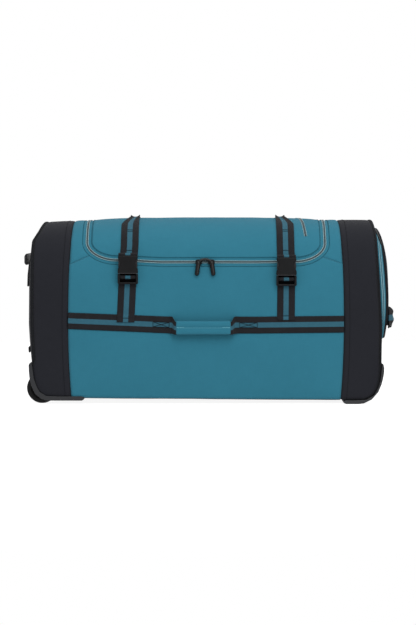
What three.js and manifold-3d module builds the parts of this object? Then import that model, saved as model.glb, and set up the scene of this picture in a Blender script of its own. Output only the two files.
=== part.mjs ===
import * as THREE from 'three';
import { mergeVertices } from 'three/addons/utils/BufferGeometryUtils.js';
import Module from 'manifold-3d';

const wasm = await Module();
wasm.setup();

// Wheeled duffel bag. Millimetres, +Z up, X along the bag with the wheels at -X, front at -Y.

// Main form of the bag.
const HALF_DEPTH = 180;
const CREST = 398;
const WAIST = 170;
const BASE = 14;
const TOP_POWER = 3.2;
const BASE_POWER = 20;
const CLOTH = 2.5;
const GAP = 0.4;
const TUCK = 5;
const TUCK_RUN = 16;
const END_FACE = { left: 387, right: 381 };
const END_RIM = { halfDepth: 170, above: { left: 215.5, right: 220 }, below: { left: 147, right: 155 } };

// How far the cloth of each end cap reaches, by height: -1 at the base, 0 at the waist, 1 at the crest.
const REACH = [
  { height: -1, left: 335, right: 332 },
  { height: -0.96, left: 345, right: 348.5 },
  { height: -0.92, left: 353.5, right: 357 },
  { height: -0.85, left: 361, right: 365.5 },
  { height: -0.75, left: 366, right: 370.5 },
  { height: -0.54, left: 370, right: 374 },
  { height: 0, left: 374, right: 375 },
  { height: 0.7, left: 374, right: 367 },
  { height: 0.82, left: 372.5, right: 366 },
  { height: 0.91, left: 361, right: 364 },
  { height: 1, left: 352, right: 361 },
];

// Seams, lid and zips.
const SEAM = 289;
const SEAM_BOW = 7;
const LID_EDGE = 256;
const LID_CORNER = { along: 66, up: 45 };
const LID_FRONT = 305;
const LID_BACK = 330;
const ZIP_HALF = 4;
const BASE_SIDE = 0.94;

// Webbing.
const WEB = 2;
const STRAP_HALF = 19;
const STRAPS = [
  { side: 'left', top: -164, buckle: -167, foot: -170, footHeight: 176, buckleLow: 258, buckleHigh: 320 },
  { side: 'right', top: 171, buckle: 172, foot: 171, footHeight: 181, buckleLow: 254, buckleHigh: 318 },
];
const STRAP_BACK = 250;
const BUCKLE = { half: 22, thick: 10, stand: 5.8, bar: 22 };
const BAND_HALF = 18;
const BAND_HEIGHT = 170;
const BAND_RISE = 7;
const HANDLE = { left: -77, right: 66, stand: 15, sag: 7, half: 11 };
const GRIP = { left: -64, right: 53, half: 15, thick: 9 };

// Pocket on the right end.
const POCKET = { height: 256, halfWidth: 164, halfHeight: 125, edge: 3, swell: 9, crown: 394 };
const POCKET_POWER = { above: 2.5, below: 3.4 };
const END_HANDLE = { height: 181, half: 22, span: 75, out: 413 };

// Running gear and corner guards.
const WHEEL = { x: -353.5, z: 33, radius: 33, half: 13, bore: 3.7, pin: 3.2, y: 138 };
const WELL = { radius: 37, wall: 4, half: 16 };
const CORNER = { outer: 180, inner: 118, clear: 3.8 };

const CLOTH_TEAL = 0x2f708a;
const CLOTH_BLACK = 0x2a2b2f;
const PLASTIC = 0x1b1b1d;

const between = (a, b, t) => a + (b - a) * t;

function fromTable(table, key, at, column) {
  let k = 1;
  while (k < table.length - 1 && table[k][key] < at) k += 1;
  const low = table[k - 1];
  const high = table[k];
  const t = Math.min(1, Math.max(0, (at - low[key]) / (high[key] - low[key])));
  return between(low[column], high[column], t);
}

const sideOf = (x) => (x < 0 ? 'left' : 'right');
const reach = (side, height) => fromTable(REACH, 'height', height, side);
const halfDepthAt = (x) => HALF_DEPTH - 5 * (Math.abs(x) / 370) ** 4;
const crestAt = (x) => CREST - (x < 0 ? 5 * (x / 290) ** 2 : 3 * Math.min(1, (x / 250) ** 2));
const baseAt = (x) => BASE - (4 * x) / 370;

// The section of the bag as a ring: from the middle of the base up the front, over the crest, down the back.
const RING_STEPS = 1600;
const ringTable = [{ run: 0, across: 0, height: -1 }];
for (let i = 1; i <= RING_STEPS; i += 1) {
  const turn = (2 * Math.PI * i) / RING_STEPS;
  const power = Math.cos(turn) < 0 ? TOP_POWER : BASE_POWER;
  const across = -Math.sign(Math.sin(turn)) * Math.abs(Math.sin(turn)) ** (2 / power);
  const height = -Math.sign(Math.cos(turn)) * Math.abs(Math.cos(turn)) ** (2 / power);
  const last = ringTable[i - 1];
  const rise = (height - last.height) * (height > 0 ? CREST - WAIST : WAIST - BASE);
  const step = Math.hypot((across - last.across) * HALF_DEPTH, rise);
  ringTable.push({ run: last.run + step, across, height });
}
const ROUND = ringTable[RING_STEPS].run;

function ring(run) {
  const at = ((run % ROUND) + ROUND) % ROUND;
  return {
    across: fromTable(ringTable, 'run', at, 'across'),
    height: fromTable(ringTable, 'run', at, 'height'),
  };
}

// Distance round the section to a height on the front or the back wall, or to a depth on the base.
function runToHeight(z, back = false) {
  const height = (z - WAIST) / (z > WAIST ? CREST - WAIST : WAIST - BASE);
  const half = ringTable.slice(0, RING_STEPS / 2 + 1);
  const run = fromTable(half, 'height', height, 'run');
  return back ? ROUND - run : run;
}

const baseRun = ringTable.find((row) => row.across < -BASE_SIDE).run;
const zipRun = runToHeight(LID_FRONT);
const hingeRun = runToHeight(LID_BACK, true);

function onRing(x, run) {
  const { across, height } = ring(run);
  const near = Math.max(0, (Math.abs(x) - reach(sideOf(x), height)) / TUCK_RUN + 1);
  const tuck = TUCK * near * near;
  const tall = height > 0 ? crestAt(x) - WAIST : WAIST - baseAt(x);
  return new THREE.Vector3(x, (halfDepthAt(x) - tuck) * across, WAIST + (tall - tuck) * height);
}

function normalOf(surface, a, b, step = 0.5) {
  const alongA = surface(a + step, b).sub(surface(a - step, b));
  const alongB = surface(a, b + step).sub(surface(a, b - step));
  return alongA.cross(alongB).normalize();
}

// A point on the bag's skin, lifted off it, and the outward normal there.
function skin(x, run, lift = 0) {
  const normal = normalOf(onRing, x, run).negate();
  const { across, height } = ring(run);
  if (normal.y * across + normal.z * height < 0) normal.negate();
  return { point: onRing(x, run).addScaledVector(normal, lift), normal };
}

// The outer face of each end panel, by depth and height.
function endFace(side, y, z, lift = 0) {
  const sign = side === 'left' ? -1 : 1;
  const a = Math.abs(y) / END_RIM.halfDepth;
  const b = (z - WAIST) / (z > WAIST ? END_RIM.above[side] : END_RIM.below[side]);
  if (z < WAIST) {
    const dome = (END_FACE[side] - reach(side, 0)) * (1 - a ** 4) * (1 - b ** 4);
    return new THREE.Vector3(sign * (reach(side, b) + dome + lift), y, z);
  }
  const size = (a ** TOP_POWER + b ** TOP_POWER) ** (1 / TOP_POWER);
  const rim = reach(side, size > 0 ? b / size : 0);
  return new THREE.Vector3(sign * (between(END_FACE[side], rim, size ** 4) + lift), y, z);
}

function endFaceNormal(side, y, z) {
  const normal = normalOf((a, b) => endFace(side, a, b), y, z);
  const sign = side === 'left' ? -1 : 1;
  return normal.x * sign < 0 ? normal.negate() : normal;
}

function geometryOf(points, triangles) {
  const geometry = new THREE.BufferGeometry().setFromPoints(points);
  let volume = 0;
  for (const [a, b, c] of triangles) {
    volume += points[a].dot(new THREE.Vector3().crossVectors(points[b], points[c]));
  }
  const faces = volume < 0 ? triangles.map(([a, b, c]) => [a, c, b]) : triangles;
  geometry.setIndex(faces.flat());
  return geometry;
}

// A cloth wall over a grid: rows by columns of { point, normal }, thickened inwards, its edges closed.
function wall(rows, columns, at, thick, { ringRows = false, centre = null } = {}) {
  const points = [];
  const triangles = [];
  for (let i = 0; i < rows; i += 1) {
    for (let j = 0; j < columns; j += 1) {
      const { point, normal } = at(i, j);
      points.push(point, point.clone().addScaledVector(normal, -thick));
    }
  }
  const outer = (i, j) => 2 * ((i % rows) * columns + j);
  const quad = (a, b, c, d) => triangles.push([a, b, c], [a, c, d]);
  const lastRow = ringRows ? rows : rows - 1;
  for (let i = 0; i < lastRow; i += 1) {
    for (let j = 0; j + 1 < columns; j += 1) {
      quad(outer(i, j), outer(i + 1, j), outer(i + 1, j + 1), outer(i, j + 1));
      quad(outer(i, j) + 1, outer(i, j + 1) + 1, outer(i + 1, j + 1) + 1, outer(i + 1, j) + 1);
    }
    quad(outer(i, 0), outer(i, 0) + 1, outer(i + 1, 0) + 1, outer(i + 1, 0));
    const e = columns - 1;
    if (centre === null) quad(outer(i, e), outer(i + 1, e), outer(i + 1, e) + 1, outer(i, e) + 1);
  }
  if (!ringRows) {
    for (let j = 0; j + 1 < columns; j += 1) {
      const e = rows - 1;
      quad(outer(0, j), outer(0, j + 1), outer(0, j + 1) + 1, outer(0, j) + 1);
      quad(outer(e, j), outer(e, j) + 1, outer(e, j + 1) + 1, outer(e, j + 1));
    }
  }
  if (centre !== null) {
    const hub = points.length;
    points.push(centre.point, centre.point.clone().addScaledVector(centre.normal, -thick));
    for (let i = 0; i < rows; i += 1) {
      const e = columns - 1;
      triangles.push([outer(i, e), outer(i + 1, e), hub]);
      triangles.push([outer(i, e) + 1, hub + 1, outer(i + 1, e) + 1]);
    }
  }
  return geometryOf(points, triangles);
}

// A round cord through a list of points, as a closed loop or with flat ends.
function cord(path, radius, sides, loop = false) {
  const points = [];
  const triangles = [];
  const count = path.length;
  let side = new THREE.Vector3(0, 0, 1);
  for (let i = 0; i < count; i += 1) {
    const before = path[loop ? (i + count - 1) % count : Math.max(0, i - 1)];
    const after = path[loop ? (i + 1) % count : Math.min(count - 1, i + 1)];
    const along = after.clone().sub(before).normalize();
    if (loop) side.set(1, 0, 0);
    side = side.clone().addScaledVector(along, -side.dot(along)).normalize();
    const up = along.clone().cross(side);
    for (let j = 0; j < sides; j += 1) {
      const turn = (2 * Math.PI * j) / sides;
      const arm = side.clone().multiplyScalar(radius * Math.cos(turn));
      points.push(path[i].clone().add(arm).addScaledVector(up, radius * Math.sin(turn)));
    }
  }
  const at = (i, j) => (i % count) * sides + (j % sides);
  const last = loop ? count : count - 1;
  for (let i = 0; i < last; i += 1) {
    for (let j = 0; j < sides; j += 1) {
      triangles.push([at(i, j), at(i + 1, j), at(i + 1, j + 1)], [at(i, j), at(i + 1, j + 1), at(i, j + 1)]);
    }
  }
  if (!loop) {
    for (let j = 1; j + 1 < sides; j += 1) {
      triangles.push([at(0, 0), at(0, j), at(0, j + 1)]);
      triangles.push([at(last, 0), at(last, j + 1), at(last, j)]);
    }
  }
  return geometryOf(points, triangles);
}

// An outline in X and Z, pushed back along Y from the given front.
function slab(outline, front, depth, holes = []) {
  const shape = new THREE.Shape(outline.map(([x, z]) => new THREE.Vector2(x, z)));
  for (const hole of holes) {
    shape.holes.push(new THREE.Path(hole.map(([x, z]) => new THREE.Vector2(x, z))));
  }
  const geometry = new THREE.ExtrudeGeometry(shape, { depth, bevelEnabled: false, curveSegments: 8 });
  return geometry.rotateX(Math.PI / 2).translate(0, front + depth, 0);
}

function drum(radius, x, z, front, depth, segments = 40) {
  return new THREE.CylinderGeometry(radius, radius, depth, segments).translate(x, front + depth / 2, z);
}

function solid(geometry) {
  const bare = geometry.index ? geometry.toNonIndexed() : geometry.clone();
  bare.deleteAttribute('normal');
  bare.deleteAttribute('uv');
  const merged = mergeVertices(bare, 1e-3);
  const triVerts = new Uint32Array(merged.index.array);
  const vertProperties = new Float32Array(merged.attributes.position.array);
  return new wasm.Manifold(new wasm.Mesh({ numProp: 3, vertProperties, triVerts }));
}

function fromSolid(made) {
  const mesh = made.getMesh();
  const geometry = new THREE.BufferGeometry();
  geometry.setAttribute('position', new THREE.BufferAttribute(mesh.vertProperties, 3));
  geometry.setIndex(new THREE.BufferAttribute(mesh.triVerts, 1));
  return geometry;
}

function cut(geometry, ...tools) {
  let made = solid(geometry);
  for (const tool of tools) made = made.subtract(solid(tool));
  return fromSolid(made);
}

const mirrorBack = (geometry) => {
  const turned = geometry.clone().scale(1, -1, 1);
  const index = turned.index ? turned : mergeVertices(turned.deleteAttribute('uv').deleteAttribute('normal'));
  const faces = index.index.array;
  for (let i = 0; i < faces.length; i += 3) [faces[i + 1], faces[i + 2]] = [faces[i + 2], faces[i + 1]];
  return index;
};

const duffel = new THREE.Group();

function add(name, geometry, color, roughness, metalness = 0) {
  const mesh = new THREE.Mesh(geometry, new THREE.MeshStandardMaterial({ color, roughness, metalness }));
  mesh.name = name;
  duffel.add(mesh);
}

const spread = (from, to, count) =>
  Array.from({ length: count }, (_, i) => between(from, to, i / (count - 1)));
const seamAt = (run) => SEAM + SEAM_BOW * (1 - ring(run).height ** 2);

// A panel of the skin between two edges, each an X for every distance round the section.
function panel(runs, columns, leftEdge, rightEdge, lift = 0, thick = CLOTH) {
  const at = (i, j) => {
    const x = between(leftEdge(runs[i], i), rightEdge(runs[i], i), j / (columns - 1));
    return skin(x, runs[i], lift);
  };
  return wall(runs.length, columns, at, thick);
}

// The lid's outline, moved out or in by an offset: half its width at a distance above the front zip line.
function lidEdge(offset, above) {
  const up = LID_CORNER.up + offset;
  const along = LID_CORNER.along + offset;
  const t = Math.min(1, Math.max(0, (above + offset) / up));
  return LID_EDGE + offset - along * (1 - Math.sqrt(1 - (1 - t) ** 2));
}

const zipSlot = ZIP_HALF + 2 * GAP;
const cornerSteps = (offset) => {
  const up = LID_CORNER.up + offset;
  return [0, 0.03, 0.1, 0.22, 0.42, 0.68, 1].map((t) => zipRun - offset + t * up);
};

// Front and back walls, and the base between them.
const frontTop = zipRun - zipSlot - GAP;
const frontRuns = [baseRun, ...[22, 32].map((z) => runToHeight(z)), ...spread(runToHeight(60), frontTop, 7)];
const inSeam = (run) => seamAt(run) - GAP / 2;
add('front_panel', panel(frontRuns, 13, (r) => -inSeam(r), inSeam), CLOTH_TEAL, 0.75);
const backRuns = spread(hingeRun + GAP, ROUND - baseRun, 9);
add('back_panel', panel(backRuns, 9, (r) => -inSeam(r), inSeam), CLOTH_TEAL, 0.75);
const baseRuns = spread(GAP - baseRun, baseRun - GAP, 8);
add('base_panel', panel(baseRuns, 9, (r) => -inSeam(r), inSeam), CLOTH_BLACK, 0.8);

// Strips between the lid and the end caps.
const afterCorner = (offset) => cornerSteps(offset)[6];
const stripRuns = [...cornerSteps(zipSlot), ...spread(afterCorner(zipSlot), hingeRun - GAP, 15).slice(1)];
const lidHalf = (offset) => (run) => lidEdge(offset, run - zipRun);
add('left_top_strip', panel(stripRuns, 3, (r) => -inSeam(r), (r) => -lidHalf(zipSlot)(r)), CLOTH_TEAL, 0.75);
add('right_top_strip', panel(stripRuns, 3, lidHalf(zipSlot), inSeam), CLOTH_TEAL, 0.75);

// Lid, with its front corners rounded.
const lidRuns = [...cornerSteps(-zipSlot), ...spread(afterCorner(-zipSlot), hingeRun - GAP, 14).slice(1)];
add('lid', panel(lidRuns, 9, (r) => -lidHalf(-zipSlot)(r), lidHalf(-zipSlot)), CLOTH_TEAL, 0.75);

// Lid zip: one long band that follows the lid's outline.
const zipPath = [];
const sideRuns = spread(hingeRun - 2, zipRun + LID_CORNER.up, 13);
for (const run of sideRuns) zipPath.push({ x: -LID_EDGE, run });
for (const turn of spread(15, 75, 5)) {
  const angle = (turn * Math.PI) / 180;
  const x = -(LID_EDGE - LID_CORNER.along * (1 - Math.cos(angle)));
  zipPath.push({ x, run: zipRun + LID_CORNER.up * (1 - Math.sin(angle)) });
}
for (const x of spread(LID_CORNER.along - LID_EDGE, 0, 5)) zipPath.push({ x, run: zipRun });
for (const step of zipPath.slice(0, -1).reverse()) zipPath.push({ x: -step.x, run: step.run });
function zipBand(path, half, lift, thick) {
  const at = (i, j) => {
    const before = path[Math.max(0, i - 1)];
    const after = path[Math.min(path.length - 1, i + 1)];
    const length = Math.hypot(after.x - before.x, after.run - before.run);
    const off = half * (j - 1);
    const x = path[i].x - ((after.run - before.run) / length) * off;
    return skin(x, path[i].run + ((after.x - before.x) / length) * off, lift);
  };
  return wall(path.length, 3, at, thick);
}
add('lid_zip', zipBand(zipPath, ZIP_HALF, 0.6, 2), 0x8a9192, 0.5);

// Short zip of the pocket in the lid.
const pocketRuns = spread(runToHeight(361), ROUND / 2 + 40, 8);
const pocketPath = pocketRuns.map((run, i) => ({ x: between(215, 207, i / 7), run }));
add('lid_pocket_zip', zipBand(pocketPath, 3, 2.2, 1), 0x8a9192, 0.5);

// End caps: sleeves of heavier black cloth that run right round the bag.
const WELL_FRONT = -WHEEL.y - WELL.half;
const frontHalf = [
  ...spread(0, baseRun - 24, 3),
  ...spread(baseRun - 10, runToHeight(40), 8),
  runToHeight(90),
  ...spread(runToHeight(160), runToHeight(300), 3),
  ...spread(runToHeight(330), ROUND / 2, 6),
];
const backHalf = frontHalf.slice(1, -1).reverse().map((run) => ROUND - run);
const capRuns = [...frontHalf, ...backHalf];
function endCap(side) {
  const sign = side === 'left' ? -1 : 1;
  const stops = [0, 0.6, 0.88, 1];
  const at = (i, j) => {
    const run = capRuns[i];
    const end = reach(side, ring(run).height) - 5.2;
    return skin(sign * between(seamAt(run) + GAP / 2, end, stops[j]), run);
  };
  return wall(capRuns.length, stops.length, at, CLOTH, { ringRows: true });
}

// End panels: domed faces inside the piping.
function endPanel(side) {
  const sign = side === 'left' ? -1 : 1;
  const sizes = [1, 0.94, 0.86, 0.74, 0.45];
  const at = (i, j) => {
    const { across, height } = ring(capRuns[i]);
    const tall = height > 0 ? END_RIM.above[side] : END_RIM.below[side];
    const y = END_RIM.halfDepth * across * sizes[j];
    const z = WAIST + tall * height * sizes[j];
    return { point: endFace(side, y, z), normal: endFaceNormal(side, y, z) };
  };
  const centre = { point: endFace(side, 0, WAIST), normal: new THREE.Vector3(sign, 0, 0) };
  return wall(capRuns.length, sizes.length, at, CLOTH, { ringRows: true, centre });
}

// Piping along the edge of each end: right round on the right, between the two housings on the left.
function piping(side, runs, loop) {
  const sign = side === 'left' ? -1 : 1;
  const path = runs.map((run) => {
    const { across, height } = ring(run);
    const x = sign * reach(side, height);
    const tall = height > 0 ? crestAt(x) - WAIST : WAIST - baseAt(x);
    return new THREE.Vector3(x, (halfDepthAt(x) - 1) * across, WAIST + (tall - 1) * height);
  });
  return cord(path, 3, 5, loop);
}

// Moulded corners: a bent strip outside the cloth, from a line beside the end cap to one under the base.
function cornerStrip(side, outside, underside, grow = 0) {
  const sign = side === 'left' ? -1 : 1;
  const inside = REACH.filter((row) => row.height <= -0.54).map((row) => [
    sign * (row[side] + CORNER.clear - grow),
    WAIST + row.height * (WAIST - baseAt(sign * row[side])) - (row.height < -0.9 ? CORNER.clear : 0) + grow,
  ]);
  inside[0] = [sign * 320, underside + grow];
  inside[1] = [sign * (side === 'left' ? 343 : 344), underside + 1 + grow];
  const outline = [...outside.map(([x, z]) => [sign * x, z]), ...inside];
  return THREE.ShapeUtils.isClockWise(outline.map(([x, z]) => ({ x, y: z }))) ? outline.reverse() : outline;
}

// The room that a moulded corner takes out of the end panel behind it.
function cornerRoom(side, low, high) {
  const sign = side === 'left' ? -1 : 1;
  const line = spread(low, high, 6).map((z) => {
    const height = (z - WAIST) / (WAIST - baseAt(sign * 350));
    return [sign * (reach(side, height) + CORNER.clear - 0.8), z];
  });
  const outline = [...line, [sign * 410, high], [sign * 410, low]];
  return slab(outline, -CORNER.outer - 2, CORNER.outer - CORNER.inner + 2.5);
}

// Wheel housings, with the well for the wheel cut through the corner.
const housingOutside = [
  [374.2, 88], [378.5, 88], [380.5, 84], [380, 70], [378.5, 55], [375, 40], [366.5, 22], [354, 11.5],
  [340, 7.5], [266, 7.5], [262, 10], [262, 14], [266, 16.5],
];
const housingOutline = cornerStrip('left', housingOutside, 16.5);
const trimOutline = [...housingOutside.slice(1, 9).map(([x, z]) => [-x, z]), [-300, 7.5], [-300, 88]];
const cornerDepth = CORNER.outer - CORNER.inner;
const wellDrum = drum(WELL.radius, WHEEL.x, WHEEL.z, WELL_FRONT, 2 * WELL.half);
const shellFront = WELL_FRONT - WELL.wall;
const shellDepth = 2 * (WELL.half + WELL.wall);
const shellDrum = (grow) =>
  drum(WELL.radius + WELL.wall + grow, WHEEL.x, WHEEL.z, shellFront - grow, shellDepth + 2 * grow);
const shell = solid(shellDrum(0)).intersect(solid(slab(trimOutline, shellFront - 1, shellDepth + 2)));
const corner = solid(slab(housingOutline, -CORNER.outer, cornerDepth));
const housing = fromSolid(corner.add(shell).subtract(solid(wellDrum)));
add('wheel_housing_front', housing, PLASTIC, 0.55);
add('wheel_housing_back', mirrorBack(housing), PLASTIC, 0.55);

// Wheels and their pins.
const wheelProfile = [
  [WHEEL.bore, -WHEEL.half], [12, -WHEEL.half], [14, -WHEEL.half + 3], [22, -WHEEL.half + 3],
  [24, -WHEEL.half], [30, -WHEEL.half], [WHEEL.radius, -WHEEL.half + 4], [WHEEL.radius, WHEEL.half - 4],
  [30, WHEEL.half], [24, WHEEL.half], [22, WHEEL.half - 3], [14, WHEEL.half - 3], [12, WHEEL.half],
  [WHEEL.bore, WHEEL.half], [WHEEL.bore, -WHEEL.half],
].map(([r, y]) => new THREE.Vector2(r, y));
const wheelAt = (sign) =>
  new THREE.LatheGeometry(wheelProfile, 24).translate(WHEEL.x, sign * WHEEL.y, WHEEL.z);
add('wheel_front', wheelAt(-1), 0x161617, 0.8);
add('wheel_back', wheelAt(1), 0x161617, 0.8);
const pinDepth = 2 * (WELL.half - GAP);
const pin = drum(WHEEL.pin, WHEEL.x, WHEEL.z, WELL_FRONT + GAP, pinDepth, 16);
add('axle_front', pin, 0x55585c, 0.4, 0.8);
add('axle_back', pin.clone().translate(0, 2 * WHEEL.y, 0), 0x55585c, 0.4, 0.8);

const clearDrum = shellDrum(0.5);
const leftRoom = cornerRoom('left', 0, 88.5);
const rightRoom = cornerRoom('right', 0, 86.5);
const wells = [clearDrum, mirrorBack(clearDrum)];
const leftRooms = [leftRoom, mirrorBack(leftRoom)];
const rightRooms = [rightRoom, mirrorBack(rightRoom)];
add('left_end_cap', cut(endCap('left'), ...wells), CLOTH_BLACK, 0.8);
add('right_end_cap', endCap('right'), CLOTH_BLACK, 0.8);
add('left_end_panel', cut(endPanel('left'), ...wells, ...leftRooms), CLOTH_BLACK, 0.8);
add('right_end_panel', cut(endPanel('right'), ...rightRooms), CLOTH_BLACK, 0.8);
const leftRuns = capRuns.filter((run) => run > runToHeight(30) && run < runToHeight(30, true));
add('left_piping', piping('left', leftRuns, false), 0x18181a, 0.7);
add('right_piping', piping('right', capRuns, true), 0x18181a, 0.7);

// Guards on the bottom corners of the right end: the bag rests on their flat undersides.
const guardOutside = [
  [378.2, 86], [380.5, 86], [382.5, 78], [382, 66], [380, 55], [377, 43], [370, 26], [356, 10], [339, 1.5],
  [328, 0], [300, 0], [295, 3], [295, 6], [300, 8],
];
const guard = slab(cornerStrip('right', guardOutside, 8), -CORNER.outer, cornerDepth);
add('corner_guard_front', guard, PLASTIC, 0.55);
add('corner_guard_back', mirrorBack(guard), PLASTIC, 0.55);

// Left end: plate with the bar that the bag stands on, and the rib below it.
function endPatch(side, depths, heights, lift, thick) {
  const sign = side === 'left' ? -1 : 1;
  const at = (i, j) => ({
    point: endFace(side, depths[j], heights[i], lift),
    normal: new THREE.Vector3(sign, 0, 0),
  });
  return wall(heights.length, depths.length, at, thick);
}
add('foot_plate', endPatch('left', spread(-85, 85, 6), spread(250, 352, 5), 4.6, 4), PLASTIC, 0.5);
const footProfile = [[-392.2, 296], [-395.5, 297], [-398, 301], [-398, 315], [-396, 319.5], [-392.2, 322]];
add('foot_bar', slab(footProfile, -65, 130), 0x333437, 0.4);
add('end_rib', endPatch('left', spread(-110, 110, 7), [107, 110, 116, 119], 4.4, 3.9), PLASTIC, 0.6);

// Right end pocket: gusset, zip on it, and the domed face.
const pocketAt = (turn, size = 1) => {
  const c = Math.cos(turn);
  const s = Math.sin(turn);
  const power = s < 0 ? POCKET_POWER.below : POCKET_POWER.above;
  return {
    y: POCKET.halfWidth * size * Math.sign(c) * Math.abs(c) ** (2 / power),
    z: POCKET.height + POCKET.halfHeight * size * Math.sign(s) * Math.abs(s) ** (2 / power),
  };
};
const pocketTurns = spread(0, 2 * Math.PI, 33).slice(0, 32);
const standOf = (turn) => POCKET.edge + POCKET.swell * Math.cos(turn) ** (Math.sin(turn) < 0 ? 6 : 2);
function pocketSide(turn, part, lift = 0) {
  const size = 1 - 0.04 * part;
  const { y, z } = pocketAt(turn, size);
  const out = new THREE.Vector3(0, Math.cos(turn), Math.sin(turn));
  const foot = endFace('right', y, z, 1.6 + part * standOf(turn));
  return { point: foot.addScaledVector(out, lift), normal: out };
}
const gusset = (from, to, lift, thick) =>
  wall(32, 2, (i, j) => pocketSide(pocketTurns[i], j ? to : from, lift), thick, { ringRows: true });
add('end_pocket_gusset', gusset(0, 1, 0, 2), CLOTH_TEAL, 0.75);
const zipTurns = spread(-0.75, Math.PI + 0.75, 25);
const endZip = wall(25, 2, (i, j) => pocketSide(zipTurns[i], j ? 0.7 : 0.35, 2), 1);
add('end_pocket_zip', endZip, 0x8a9192, 0.5);
const pocketSizes = [0.96, 0.85, 0.65, 0.35];
function pocketFace(turn, size) {
  const { y, z } = pocketAt(turn, size);
  const rim = pocketAt(turn, 0.96);
  const edge = endFace('right', rim.y, rim.z, 2 + standOf(turn)).x;
  return new THREE.Vector3(between(POCKET.crown, edge, (size / 0.96) ** 2.5), y, z);
}
const pocketPanel = wall(
  32,
  4,
  (i, j) => ({
    point: pocketFace(pocketTurns[i], pocketSizes[j]).add(new THREE.Vector3(CLOTH, 0, 0)),
    normal: new THREE.Vector3(1, 0, 0),
  }),
  2,
  {
    ringRows: true,
    centre: {
      point: new THREE.Vector3(POCKET.crown + CLOTH, 0, POCKET.height),
      normal: new THREE.Vector3(1, 0, 0),
    },
  },
);
add('end_pocket_panel', pocketPanel, CLOTH_BLACK, 0.8);
const pullPath = spread(2, 2.42, 4).map((turn) => pocketSide(turn, 0.5, 5).point);
add('end_zip_pull', cord(pullPath, 2, 6), PLASTIC, 0.5);

// Grab handle on the pocket: a strap of webbing sewn down at both ends.
const handleDepths = spread(-END_HANDLE.span - 20, END_HANDLE.span + 20, 15);
function endHandle(i, j) {
  const y = handleDepths[i];
  const near = Math.min(1, Math.max(0, (END_HANDLE.span - Math.abs(y)) / 40));
  const lie = POCKET.crown + 1.6;
  const x = between(lie + 4, END_HANDLE.out, near * near * (3 - 2 * near));
  return {
    point: new THREE.Vector3(x, y, END_HANDLE.height + END_HANDLE.half * (j - 1)),
    normal: new THREE.Vector3(1, 0, 0),
  };
}
add('end_handle', wall(15, 3, endHandle, WEB), 0x242426, 0.85);

// Closing straps: the upper part over the lid, the lower part up from the band to the buckle.
const strapTable = (strap) => [
  { run: 0, x: strap.foot },
  { run: runToHeight(strap.footHeight), x: strap.foot },
  { run: runToHeight(290), x: strap.buckle },
  { run: runToHeight(340), x: strap.top },
  { run: ROUND, x: strap.top },
];
function strapSheet(strap, runs, liftAt) {
  const centre = (run) => fromTable(strapTable(strap), 'run', run, 'x');
  const at = (i, j) => skin(centre(runs[i]) + STRAP_HALF * (j - 1), runs[i], liftAt(runs[i]) + WEB);
  return wall(runs.length, 3, at, WEB);
}
for (const strap of STRAPS) {
  const upper = spread(runToHeight(302), runToHeight(STRAP_BACK, true), 21);
  const arch = (run) => 1.2 + 5.5 * Math.exp(-(((run - ROUND / 2) / 55) ** 2));
  add(`${strap.side}_strap_upper`, strapSheet(strap, upper, arch), 0x242426, 0.85);
  const lower = spread(runToHeight(strap.footHeight), runToHeight(strap.buckleLow + 12), 7);
  add(`${strap.side}_strap_lower`, strapSheet(strap, lower, () => WEB + 0.9), 0x242426, 0.85);
}

// Side-release buckles.
for (const strap of STRAPS) {
  const front = skin(strap.buckle, runToHeight(strap.buckleLow), BUCKLE.stand).point.y - BUCKLE.thick;
  const split = strap.buckleLow + BUCKLE.bar;
  const w = BUCKLE.half;
  const place = (outline) => outline.map(([x, z]) => [strap.buckle + x, z]);
  const edge = [
    [w, split + GAP], [w - 0.5, split + 11], [w - 4, split + 18], [w - 4, split + 25], [w - 1, split + 31],
    [w - 1.5, strap.buckleHigh],
  ];
  const socket = place([...edge, ...edge.map(([x, z]) => [-x, z]).reverse()]);
  add(`${strap.side}_buckle_socket`, slab(socket, front, BUCKLE.thick), PLASTIC, 0.4);
  const low = strap.buckleLow;
  const plug = place([[1 - w, low], [w - 1, low], [w, low + 3], [w, split], [-w, split], [-w, low + 3]]);
  const opening = (from, to) => place([[4 - w, from], [4 - w, to], [w - 4, to], [w - 4, from]]);
  const slots = [opening(low + 5, low + 9.5), opening(low + 17.5, low + 20)];
  add(`${strap.side}_buckle_plug`, slab(plug, front, BUCKLE.thick, slots), PLASTIC, 0.4);
}

// Sliders of the two lid zips meeting at the middle, and their pulls.
const pulls = [
  { side: 'left', x: -15.5, foot: -20 },
  { side: 'right', x: 11.5, foot: 16.5 },
];
for (const { side, x, foot } of pulls) {
  const face = skin(x, runToHeight(299), 1.6).point.y;
  const outline = [[x - 7, 300], [x + 7, 300], [x + 7, 308], [x + 4, 310.5], [x - 4, 310.5], [x - 7, 308]];
  add(`zip_slider_${side}`, slab(outline, face - 4.5, 4.5), PLASTIC, 0.4);
  const pull = [296.8, 274].map((z, k) => skin(k ? foot : x, runToHeight(z), 4.8).point);
  add(`zip_pull_${side}`, cord(pull, 4, 8), PLASTIC, 0.6);
}

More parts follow.
